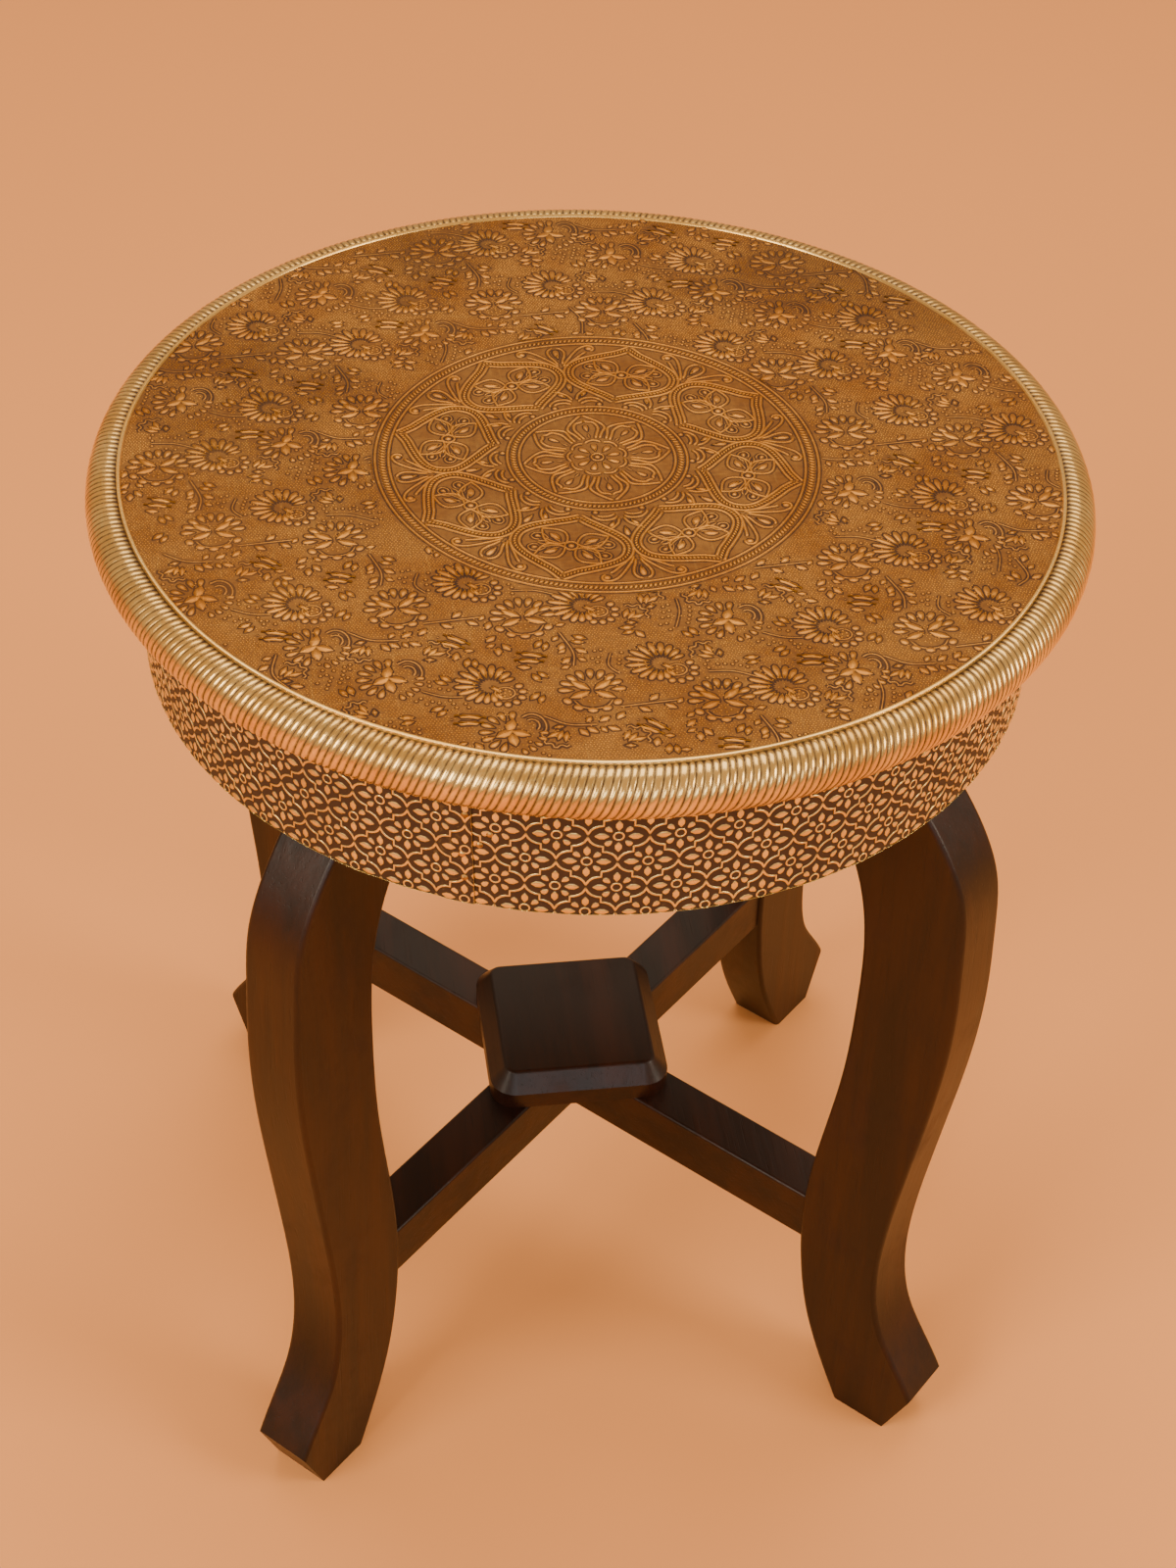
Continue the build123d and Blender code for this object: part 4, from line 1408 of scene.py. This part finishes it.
@dataclass
class FlowerField:
    """The repeat of flowers, leaves and berries round the medallion, on stippled ground."""

    medallion: Medallion
    outer: float
    rise: float = 0.36
    inner: float = 90.6
    sectors: int = 8
    dot_pitch: float = 1.3
    cell: float = 0.5
    seed: int = 21

    def __post_init__(self) -> None:
        """Starts with bare ground and empty sectors."""
        self.count = int(2 * (self.outer + 10) / self.cell)
        self.taken = np.zeros((self.count, self.count), bool)
        self.work: list[list[Shape]] = [[] for _ in range(self.sectors)]
        self.rng = np.random.default_rng(self.seed)

    def indices(self, points: np.ndarray) -> tuple[np.ndarray, np.ndarray]:
        """The ground cells that some points lie in."""
        rows = np.clip(((points[:, :2] + self.outer + 10) / self.cell).astype(int), 0, self.count - 1)
        return rows[:, 0], rows[:, 1]

    def inside(self, x: float, y: float, margin: float) -> bool:
        """Whether a place is on the field, with a margin to its edges."""
        from_middle = math.hypot(x - self.medallion.centre[0], y - self.medallion.centre[1])
        return math.hypot(x, y) < self.outer - margin and from_middle > self.inner + margin

    def room(self, shape: Shape) -> bool:
        """Whether most of the ground under a shape is still bare."""
        return self.taken[self.indices(shape.points)].mean() < 0.35

    def sector(self, x: float, y: float) -> list[Shape]:
        """The shapes of the sector that a place is in."""
        return self.work[slice_of(math.degrees(math.atan2(y, x)), self.sectors)]

    def plant(self, shape: Shape, x: float, y: float, spread: float = 0.7) -> None:
        """Adds a shape to the sector it stands in and marks its ground as taken."""
        self.sector(x, y).append(shape)
        for turn in range(0, 360, 60):
            dx, dy = polar(spread, turn)
            self.taken[self.indices(shape.points + (dx, dy, 0))] = True
        self.taken[self.indices(shape.points)] = True

    def daisy(self) -> Shape:
        """A full daisy whose petals fan from one side, with a dotted eye ringed by beads."""
        petal = Bench.blister(5.0, 2.3, self.rise, widening(0.85, 0.3), 10, 0.2, 0.6)
        hub = (-1.0, 1.6)
        parts = []
        for index in range(15):
            turn = 22 + index * 19.4
            wide = 0.8 if index in (0, 14) else 1.0
            reach = 7.9 - 2.2 * math.cos(math.radians(turn + 38)) * 0.8
            length = reach - 2.6
            x, y = polar(2.6 + length / 2, turn)
            parts.append(petal.placed(hub[0] + x, hub[1] + y, turn, (length / 5.0, wide, 1)))
        bead = Bench.blister(2.4, 2.1, self.rise, sides=8, skirt=0.5)
        eye = (2.4, -1.6)
        for turn in (-118, -88, -58, -28, 2, 32):
            x, y = polar(4.6, turn)
            parts.append(bead.placed(eye[0] + x, eye[1] + y, turn))
        dot = Bench.bead(0.55, self.rise)
        dots = ((0, 0), (1.2, 0.5), (-1.2, -0.4), (0.3, 1.3), (-0.3, -1.3), (1.3, -0.8), (-1.1, 0.9))
        for x, y in dots:
            parts.append(dot.placed(eye[0] + x, eye[1] + y))
        oval = []
        for turn in range(0, 360, 30):
            oval.append((2.6 * math.cos(math.radians(turn)), 2.3 * math.sin(math.radians(turn))))
        parts.append(Bench.wires([oval], 0.7, self.rise, True, skirt=0.5).placed(*eye))
        leaf = Bench.blister(4.2, 1.4, self.rise * 1.1, pointed(1.1, 0.8), 8, 0.2, 0.4)
        parts += [leaf.placed(hub[0] + 1.4, hub[1] - 1.6, turn) for turn in (-30, -62)]
        return Shape.joined(parts)

    def cross_flower(self) -> Shape:
        """A fan of petals over four crossed leaves and a cup with a dotted eye."""
        petal = Bench.blister(4.6, 2.6, self.rise, widening(0.85, 0.3), 10, 0.2, 0.6)
        parts = []
        for index in range(9):
            turn = 4 + index * 21.5
            parts.append(petal.placed(*polar(7.2, turn), turn))
        leaf = Bench.blister(7.0, 2.6, self.rise * 1.1, pointed(1.15, 0.8), 10, 0.2, 0.5)
        for turn in (38, 142, 205, 332):
            parts.append(leaf.placed(*polar(3.9, turn), turn))
        bead = Bench.blister(3.2, 2.6, self.rise, sides=8, skirt=0.5)
        for turn in (-150, -122, -94, -66, -38):
            parts.append(bead.placed(*polar(8.3, turn), turn + 90))
        dot = Bench.bead(0.55, self.rise)
        for x, y in ((-1.2, -4.4), (0.2, -5.2), (1.6, -4.4), (0.2, -3.4)):
            parts.append(dot.placed(x, y))
        cup = smooth([(-5.6, -3.6), (-3.4, -6.8), (0.2, -7.6), (3.6, -6.6), (5.6, -3.6)])
        parts.append(Bench.wires([cup], 0.7, self.rise * 0.8))
        return Shape.joined(parts)

    def cup_rose(self) -> Shape:
        """A rose seen from the side: folded petals, a lobed cup and a row of small petals below."""
        petal = Bench.blister(4.4, 2.4, self.rise, widening(0.85, 0.3), 10, 0.2, 0.6)
        parts = []
        for index in range(8):
            turn = 78 + index * 24
            parts.append(petal.placed(*polar(6.6, turn), turn))
        leaf = Bench.blister(6.4, 2.9, self.rise * 1.1, pointed(1.15, 0.8), 10, 0.2, 0.5)
        for x, y, turn in ((0.4, 2.6, 66), (2.6, -1.0, -28), (-1.8, -0.6, 205), (0.2, -3.4, -84)):
            parts.append(leaf.placed(x, y, turn))
        cup = smooth([(3.4, 5.4), (6.2, 6.8), (8.8, 5.6), (10.0, 2.6), (9.6, -0.6), (7.6, -2.6)])
        inner = smooth([(4.6, 3.8), (6.4, 4.6), (8.0, 3.4), (8.2, 1.2), (7.0, -0.6)])
        parts.append(Bench.wires([cup, inner], 0.75, self.rise * 0.9))
        dot = Bench.bead(0.5, self.rise)
        parts += [dot.placed(x, y) for x, y in ((5.6, 2.6), (6.6, 2.0), (6.2, 0.8))]
        bead = Bench.blister(2.8, 2.1, self.rise, widening(0.85, 0.3), 8, 0.2, 0.45)
        for index in range(5):
            turn = -74 + index * 16
            parts.append(bead.placed(*polar(9.0, turn), turn))
        return Shape.joined(parts)

    def bud(self) -> Shape:
        """A three-lobed bud with a split heart and a scalloped edge."""
        half = Bench.blister(5.2, 1.9, self.rise, pointed(1.1, 0.75), 8, 0.2, 0.5)
        parts = [half.placed(-1.6, 0.9, 62), half.placed(-0.2, -0.2, 50), half.placed(1.4, -1.0, 12)]
        scallop = []
        for index in range(4):
            start = 118 - index * 44
            scallop += [polar(4.6 if step in (1, 2) else 3.6, start - step * 11) for step in range(4)]
        parts.append(Bench.wires([scallop], 0.75, self.rise * 0.9).placed(0.4, 0.2))
        base = Bench.blister(3.6, 1.6, self.rise, pointed(1.1, 0.7), 8)
        parts.append(base.placed(-1.2, -3.6, -8))
        return Shape.joined(parts)

    def lance_leaf(self) -> Shape:
        """A leaf in two halves with a wavy edge."""
        wavy: Taper = lambda along: 1.0 - 0.45 * along**2 + 0.2 * math.cos(along * 13)
        half = Bench.blister(10.8, 3.3, self.rise, wavy, 18, 0.2)
        stalk = Bench.wires([[(-7.6, -0.4), (-6.4, -0.1), (-5.2, 0.0)]], 0.7, self.rise * 0.8)
        upper = half.placed(0.3, 1.85, -4, (1, 0.95, 1))
        return Shape.joined([upper, half.placed(-0.2, -1.85, 4, (0.95, 0.95, 1)), stalk])

    def split_leaf(self) -> Shape:
        """A small leaf in two halves, like a coffee bean."""
        half = Bench.blister(6.4, 2.7, self.rise, pointed(1.1, 0.75), 10, 0.2, 0.7)
        return Shape.joined([half.placed(0.1, 1.4, -7), half.placed(-0.1, -1.5, 8, (0.92, 0.9, 1))])

    def leafy_stem(self, path: Path) -> list[Shape]:
        """A stem with leaves on alternate sides and a bud at its end."""
        stepped = smooth(path, 1.2)
        leaf = Bench.blister(5.6, 3.2, self.rise, pointed(1.05, 0.65), 8, 0.2, 0.7)
        parts = [Bench.wires([stepped], 0.85, self.rise * 0.9)]
        ways = directions(stepped)
        for index, number in enumerate(range(2, len(stepped), 4)):
            side = 1 if index % 2 == 0 else -1
            x, y = stepped[number]
            dx, dy = polar(3.6, ways[number] + 56 * side)
            parts.append(leaf.placed(x + dx, y + dy, ways[number] + 40 * side))
            dx, dy = polar(3.2, ways[number] - 64 * side)
            parts.append(leaf.placed(x + dx, y + dy, ways[number] - 58 * side, (0.75, 0.8, 1)))
        x, y = stepped[-1]
        dx, dy = polar(2.2, ways[-1])
        parts.append(leaf.placed(x + dx, y + dy, ways[-1]))
        return parts

    def berry_stem(self, path: Path) -> list[Shape]:
        """A stem with rows of round berries on both sides."""
        stepped = smooth(path, 2.25)
        berry = Bench.blister(1.7, 1.7, self.rise, sides=6, shoulder=0.25, skirt=0.4)
        parts = [Bench.wires([smooth(path, 1.2)], 0.75, self.rise * 0.9)]
        ways = directions(stepped)
        for number, ((x, y), way) in enumerate(zip(stepped, ways)):
            for lane in (-3, -2, -1, 1, 2, 3):
                if abs(lane) == 3 and number % 2:
                    continue
                lag = 1.1 * (lane % 2)
                dx, dy = polar(abs(lane) * 2.05 - 0.2, way + (90 if lane > 0 else -90))
                ax, ay = polar(lag, way)
                parts.append(berry.placed(x + dx + ax, y + dy + ay))
        return parts

    def shifts(self) -> list[Point]:
        """Every shift of the repeat that can reach the field."""
        shifts = []
        for first in range(-5, 6):
            for second in range(-4, 5):
                x = first * REPEAT[0][0] + second * REPEAT[1][0]
                y = first * REPEAT[0][1] + second * REPEAT[1][1]
                if math.hypot(x + 55, y - 125) < self.outer + 100:
                    shifts.append((x, y))
        return shifts

    def sow(self) -> None:
        """Plants every flower, stem and leaf, largest first, where there is room."""
        makers = {
            Motif.DAISY: self.daisy,
            Motif.CROSS_FLOWER: self.cross_flower,
            Motif.CUP_ROSE: self.cup_rose,
            Motif.BUD: self.bud,
            Motif.LANCE_LEAF: self.lance_leaf,
            Motif.SPLIT_LEAF: self.split_leaf,
        }
        grown = {Motif.DAISY: 1.42, Motif.CROSS_FLOWER: 1.32, Motif.CUP_ROSE: 1.3, Motif.BUD: 1.3}
        made = {}
        for motif, maker in makers.items():
            size = grown.get(motif, 1.0)
            made[motif] = maker().placed(scale=(size, size, 1))
        shifts = self.shifts()
        big = (Motif.DAISY, Motif.CROSS_FLOWER, Motif.CUP_ROSE)
        for want_big in (True, False):
            for plant in PLANTS:
                if (plant.motif in big) != want_big:
                    continue
                for dx, dy in shifts:
                    x, y = plant.x + dx, plant.y + dy
                    if not self.inside(x, y, 4.0 if want_big else 2.0):
                        continue
                    turn = plant.turn + self.rng.uniform(-6, 6)
                    press = self.rng.uniform(0.85, 1.1)
                    shape = made[plant.motif].placed(x, y, turn, (1, 1, press))
                    if self.room(shape):
                        self.plant(shape, x, y)
        for stem in STEMS:
            maker = self.leafy_stem if stem.kind is Spray.LEAVES else self.berry_stem
            parts = maker(list(stem.path))
            for dx, dy in shifts:
                for part in parts:
                    moved = part.placed(dx, dy)
                    x, y = moved.points[:, :2].mean(axis=0)
                    if self.inside(x, y, 0.8) and self.room(moved):
                        self.plant(moved, x, y, 0.45)

    def stipple(self) -> None:
        """Punches dots over the ground that is still bare."""
        dot = Bench.bead(0.52, self.rise * 0.6)
        rows = int(2 * self.outer / (self.dot_pitch * 0.87))
        for row in range(rows):
            y = -self.outer + row * self.dot_pitch * 0.87
            for column in range(int(2 * self.outer / self.dot_pitch)):
                x = -self.outer + (column + 0.5 * (row % 2)) * self.dot_pitch
                jitter = self.rng.uniform(-0.22, 0.22, 2)
                size = self.rng.uniform(0.8, 1.15)
                covered = self.taken[self.indices(np.array([[x, y, 0]]))][0]
                if covered or not self.inside(x, y, 0.5):
                    continue
                punched = dot.placed(x + jitter[0], y + jitter[1], 0, (size, size, size))
                self.sector(x, y).append(punched)

    def fitted(self, points: np.ndarray) -> np.ndarray:
        """Squeezes what crosses the field's edges back on to the field."""
        centre = np.array(self.medallion.centre)
        result = points.copy()
        radius = np.maximum(np.hypot(result[:, 0], result[:, 1]), 1e-6)
        kept = np.where(radius > self.outer, self.outer + (radius - self.outer) * SQUEEZE, radius)
        result[:, :2] *= (kept / radius)[:, None]
        away = result[:, :2] - centre
        distance = np.maximum(np.hypot(away[:, 0], away[:, 1]), 1e-6)
        pushed = np.where(distance < self.inner, self.inner - (self.inner - distance) * SQUEEZE, distance)
        result[:, :2] = centre + away * (pushed / distance)[:, None]
        return result

    def build(self) -> list[Shape]:
        """Builds the field.

        Returns:
            One shape for each sector.
        """
        self.sow()
        self.stipple()
        built = []
        for shapes in self.work:
            whole = Shape.joined(shapes)
            built.append(Shape(self.fitted(whole.points), whole.tones, whole.corners, whole.sizes))
        return built


@dataclass
class EmbossedTop:
    """The brass face: a thin disc under the medallion and the flower field, and its folded lip."""

    sizes: TableSizes
    medallion: Medallion = field(default_factory=Medallion)
    lip_width: float = 1.9
    lip_drift: float = 0.15
    ground: float = 0.38

    def disc(self) -> Object:
        """The plain sheet."""
        Bench.clear()
        bpy.ops.mesh.primitive_circle_add(
            vertices=192,
            radius=(self.sizes.face_radius - self.lip_width + 0.3) * MM,
            fill_type="NGON",
            location=(0, 0, (self.sizes.face - self.sizes.sheet) * MM),
        )
        bpy.ops.object.transform_apply(location=True)
        bpy.ops.object.mode_set(mode="EDIT")
        bpy.ops.mesh.select_all(action="SELECT")
        upwards = {"value": (0, 0, self.sizes.sheet * MM)}
        bpy.ops.mesh.extrude_region_move(TRANSFORM_OT_translate=upwards)
        for _ring in range(8):
            bpy.ops.mesh.inset(thickness=self.sizes.face_radius * MM / 9, depth=0)
        bpy.ops.mesh.poke()
        obj = Bench.finish_solid()
        bpy.ops.object.shade_smooth_by_angle(angle=CREASE)
        Bench.mark(obj, lambda height: self.ground)
        return obj

    def lip(self) -> Object:
        """The smooth folded lip round the face, turned down into the groove."""
        outer = self.sizes.face_radius
        top = self.sizes.lip_top
        under = self.sizes.face - self.sizes.sheet
        section = [
            (outer - self.lip_width, under),
            (outer - self.lip_width, self.sizes.face - 0.1),
            (outer - self.lip_width + 0.15, self.sizes.face + 0.2),
            (outer - self.lip_width + 0.6, top - 0.05),
            (outer - self.lip_width + 1.1, top),
            (outer - 0.7, top),
            (outer - 0.2, top - 0.12),
            (outer, top - 0.4),
            (outer, self.sizes.groove_floor),
            (outer - self.sizes.sheet, self.sizes.groove_floor),
            (outer - self.sizes.sheet, under),
        ]
        obj = Bench.spun("folded_lip", section, 256)
        Bench.mark(obj, lambda height: 0.72 if height > self.sizes.face - 0.5 else 0.0)
        for vertex in obj.data.vertices:
            angle = math.atan2(vertex.co.y, vertex.co.x)
            drift = math.sin(3 * angle + 0.7) + 0.6 * math.sin(7 * angle)
            drift += 0.4 * math.sin(17 * angle + 2)
            grown = 1 + self.lip_drift * (drift - 2) / outer
            vertex.co.x *= grown
            vertex.co.y *= grown
        return obj

    def on_face(self, points: np.ndarray) -> np.ndarray:
        """Puts flat places on the face, sunk a hair so that no edge shows light."""
        return points + (0.0, 0.0, self.sizes.face - SUNK)

    def build(self) -> list[Object]:
        """Builds the face.

        Returns:
            The sheet with the medallion, then the sectors of the field.
        """
        medallion = self.medallion.build().object("medallion_relief", self.on_face)
        sheet = Bench.join("embossed_top_sheet", [self.disc(), medallion])
        flowers = FlowerField(self.medallion, self.sizes.face_radius - self.lip_width - 0.2)
        built = [sheet]
        for index, shape in enumerate(flowers.build()):
            built.append(shape.object(f"flower_field_{index + 1}", self.on_face))
        return built


# ---- Studio ----------------------------------------------------------------------------------


@dataclass(frozen=True)
class SoftLight:
    """One soft box, aimed at a point; width and height in metres and power in watts."""

    name: str
    place: Colour
    aim: Colour
    width: float
    height: float
    power: float
    colour: Colour = (1.0, 0.88, 0.71)

    def build(self) -> None:
        """Hangs the light."""
        light = bpy.data.lights.new(self.name, "AREA")
        light.shape = "RECTANGLE"
        light.size = self.width
        light.size_y = self.height
        light.energy = self.power
        light.color = self.colour
        obj = bpy.data.objects.new(self.name, light)
        obj.location = self.place
        way = Vector(self.aim) - Vector(self.place)
        obj.rotation_euler = way.to_track_quat("-Z", "Y").to_euler()
        bpy.context.scene.collection.objects.link(obj)


@dataclass(frozen=True)
class Studio:
    """A pale floor, soft light from above and both sides, and the camera."""

    floor_colour: Colour = (1.0, 0.42, 0.125)
    sky: Colour = (1.0, 0.67, 0.41)
    sky_strength: float = 0.62
    camera_place: Colour = (-0.1512, -0.9252, 1.1065)
    right: Colour = (0.9900, -0.1377, 0.0314)
    up: Colour = (0.0675, 0.6561, 0.7516)
    forward: Colour = (0.1241, 0.7420, -0.6588)
    lens: float = 64.64
    lights: tuple[SoftLight, ...] = (
        SoftLight("key_left", (-1.5, -1.1, 1.5), (0, 0, 0.4), 1.0, 1.0, 30),
        SoftLight("key_right", (1.7, -1.0, 1.35), (0, 0, 0.4), 0.8, 1.0, 24),
        SoftLight("overhead", (0.2, 0.9, 2.4), (0, 0, 0.3), 2.2, 1.6, 30),
        SoftLight("front_window", (-0.2, -2.4, 1.5), (0, 0, 0.4), 1.6, 0.9, 16, (0.9, 0.94, 1.0)),
    )

    def floor(self) -> Object:
        """A wide pale floor with a faint mottle."""
        Bench.clear()
        bpy.ops.mesh.primitive_grid_add(x_subdivisions=4, y_subdivisions=4, size=12.0)
        obj = bpy.context.object
        obj.name = "studio_floor"
        material, wiring, shader = new_material("pale_floor")
        mottle = wiring.noise(wiring.place(), 1.3, 2.0)
        pale = wiring.mix(mottle, self.floor_colour, tuple(0.94 * part for part in self.floor_colour))
        wiring.link(pale, shader.inputs["Base Color"])
        shader.inputs["Roughness"].default_value = 0.75
        obj.data.materials.append(material)
        return obj

    def build(self) -> None:
        """Builds the floor, the lights, the sky and the camera."""
        self.floor()
        for light in self.lights:
            light.build()
        world = bpy.data.worlds.new("studio_sky")
        world.use_nodes = True
        world.node_tree.nodes["Background"].inputs[0].default_value = (*self.sky, 1.0)
        world.node_tree.nodes["Background"].inputs[1].default_value = self.sky_strength
        bpy.context.scene.world = world
        camera = bpy.data.cameras.new("camera")
        camera.lens = self.lens
        camera.sensor_width = 36.0
        obj = bpy.data.objects.new("camera", camera)
        back = [-part for part in self.forward]
        obj.matrix_world = Matrix(
            [(*row, place) for row, place in zip(zip(self.right, self.up, back), self.camera_place)]
            + [(0, 0, 0, 1)]
        )
        bpy.context.scene.collection.objects.link(obj)
        bpy.context.scene.camera = obj


# ---- Dressing --------------------------------------------------------------------------------


@dataclass
class Finishes:
    """Every finish of the table, built once."""

    effects: Effects
    sizes: TableSizes

    def __post_init__(self) -> None:
        """Builds the materials."""
        top = AgedBrass(
            "aged_brass_face",
            low=0.0,
            high=0.95,
            recess=(0.042, 0.014, 0.0045),
            metal=(0.56, 0.25, 0.043),
            warm=(0.43, 0.166, 0.023),
            smoke=0.4,
            shine=(0.34, 0.6),
            painted_reflection_at_back=0.8,
            bare=0.15,
        )
        band = AgedBrass(
            "aged_brass_rim",
            low=0.12,
            high=0.7,
            recess=(0.05, 0.019, 0.006),
            metal=(0.95, 0.63, 0.21),
            warm=(0.80, 0.46, 0.11),
            smoke=0.2,
            shine=(0.2, 0.45),
        )
        apron_brass = AgedBrass(
            "aged_brass_apron",
            low=0.12,
            high=0.8,
            recess=(0.056, 0.031, 0.019),
            metal=(0.95, 0.70, 0.26),
            warm=(0.82, 0.54, 0.15),
            smoke=0.2,
            shine=(0.24, 0.55),
        )
        self.top = top.build(self.effects)
        self.rim = band.build(self.effects)
        self.apron = apron_brass.build(self.effects)
        level = math.pi / 2
        self.upright = self.stained("stained_wood_upright", (0.0, 0.0, 0.0))
        self.slanting = self.stained("stained_wood_rail", (level, 0, math.pi / 4))
        self.crossing = self.stained("stained_wood_cross_rail", (level, 0, -math.pi / 4))
        self.cap = self.stained("stained_wood_cap", (level, 0, 0))
        bare = Wood("carcass_wood", (0.30, 0.18, 0.09), (0.46, 0.30, 0.16), 0.6, 0.0, (level, 0, 0))
        self.carcass = bare.build(self.effects)
        steel = PlainMetal("screw_steel", (0.56, 0.55, 0.53), (0.30, 0.28, 0.26), 0.3)
        self.steel = steel.build(self.effects)
        nails = PlainMetal("brass_nails", (0.62, 0.36, 0.11), (0.30, 0.15, 0.04), 0.34)
        self.nails = nails.build(self.effects)

    def stained(self, name: str, turn: Colour) -> bpy.types.Material:
        """The dark stained wood of legs and stretcher, with its grain turned along the piece."""
        dark = (0.008, 0.0019, 0.0005)
        light = (0.026, 0.0055, 0.0012)
        return Wood(name, dark, light, 0.42, 0.06, turn).build(self.effects)

    def dress_frame(self) -> None:
        """Gives each shown node of the frame its finish."""
        wanted = {
            "top_board": self.carcass,
            "stretcher_rail_lower": self.slanting,
            "stretcher_rail_upper": self.crossing,
            "stretcher_cap_block": self.cap,
            "hoop_screws": self.steel,
            "leg_top_screws": self.steel,
            "hoop_top_screws": self.steel,
            "cap_screws": self.steel,
            "hem_tacks": self.nails,
            "seam_pins": self.nails,
        }
        for name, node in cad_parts.items():
            if name.startswith("leg_") and name not in wanted:
                finish = self.upright
            elif name.startswith("apron_segment"):
                finish = self.carcass
            else:
                finish = wanted.get(name)
            if finish is None:
                continue
            for index in range(len(node.material_slots)):
                node.material_slots[index].material = finish
            log.info("dressed %s in %s", name, finish.name)


def settle(obj: Object, finish: bpy.types.Material, node: str) -> None:
    """Dresses a finished piece, puts it on the table's body and hides the frame node it replaces.

    Args:
        obj: the piece.
        finish: its material.
        node: the frame node it replaces.
    """
    obj.data.materials.clear()
    obj.data.materials.append(finish)
    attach(obj, BODY)
    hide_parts(node)
    triangles = sum(len(face.vertices) - 2 for face in obj.data.polygons)
    log.info("built %s: %d triangles", obj.name, triangles)


def main() -> None:
    """Builds the studio and the table's brass, and dresses the frame."""
    Studio().build()
    sizes = TableSizes()
    finishes = Finishes(Effects(), sizes)
    finishes.dress_frame()
    settle(RibbedRim(sizes).build(), finishes.rim, "brass_rim_band")
    for piece in LatticeApron(sizes).build():
        settle(piece, finishes.apron, "brass_apron_band")
    top = EmbossedTop(sizes)
    settle(top.lip(), finishes.rim, "brass_top_sheet")
    for piece in top.build():
        settle(piece, finishes.top, "brass_top_sheet")


if __name__ == "__main__":
    logging.basicConfig(level=logging.INFO, format="%(name)s: %(message)s")
    main()
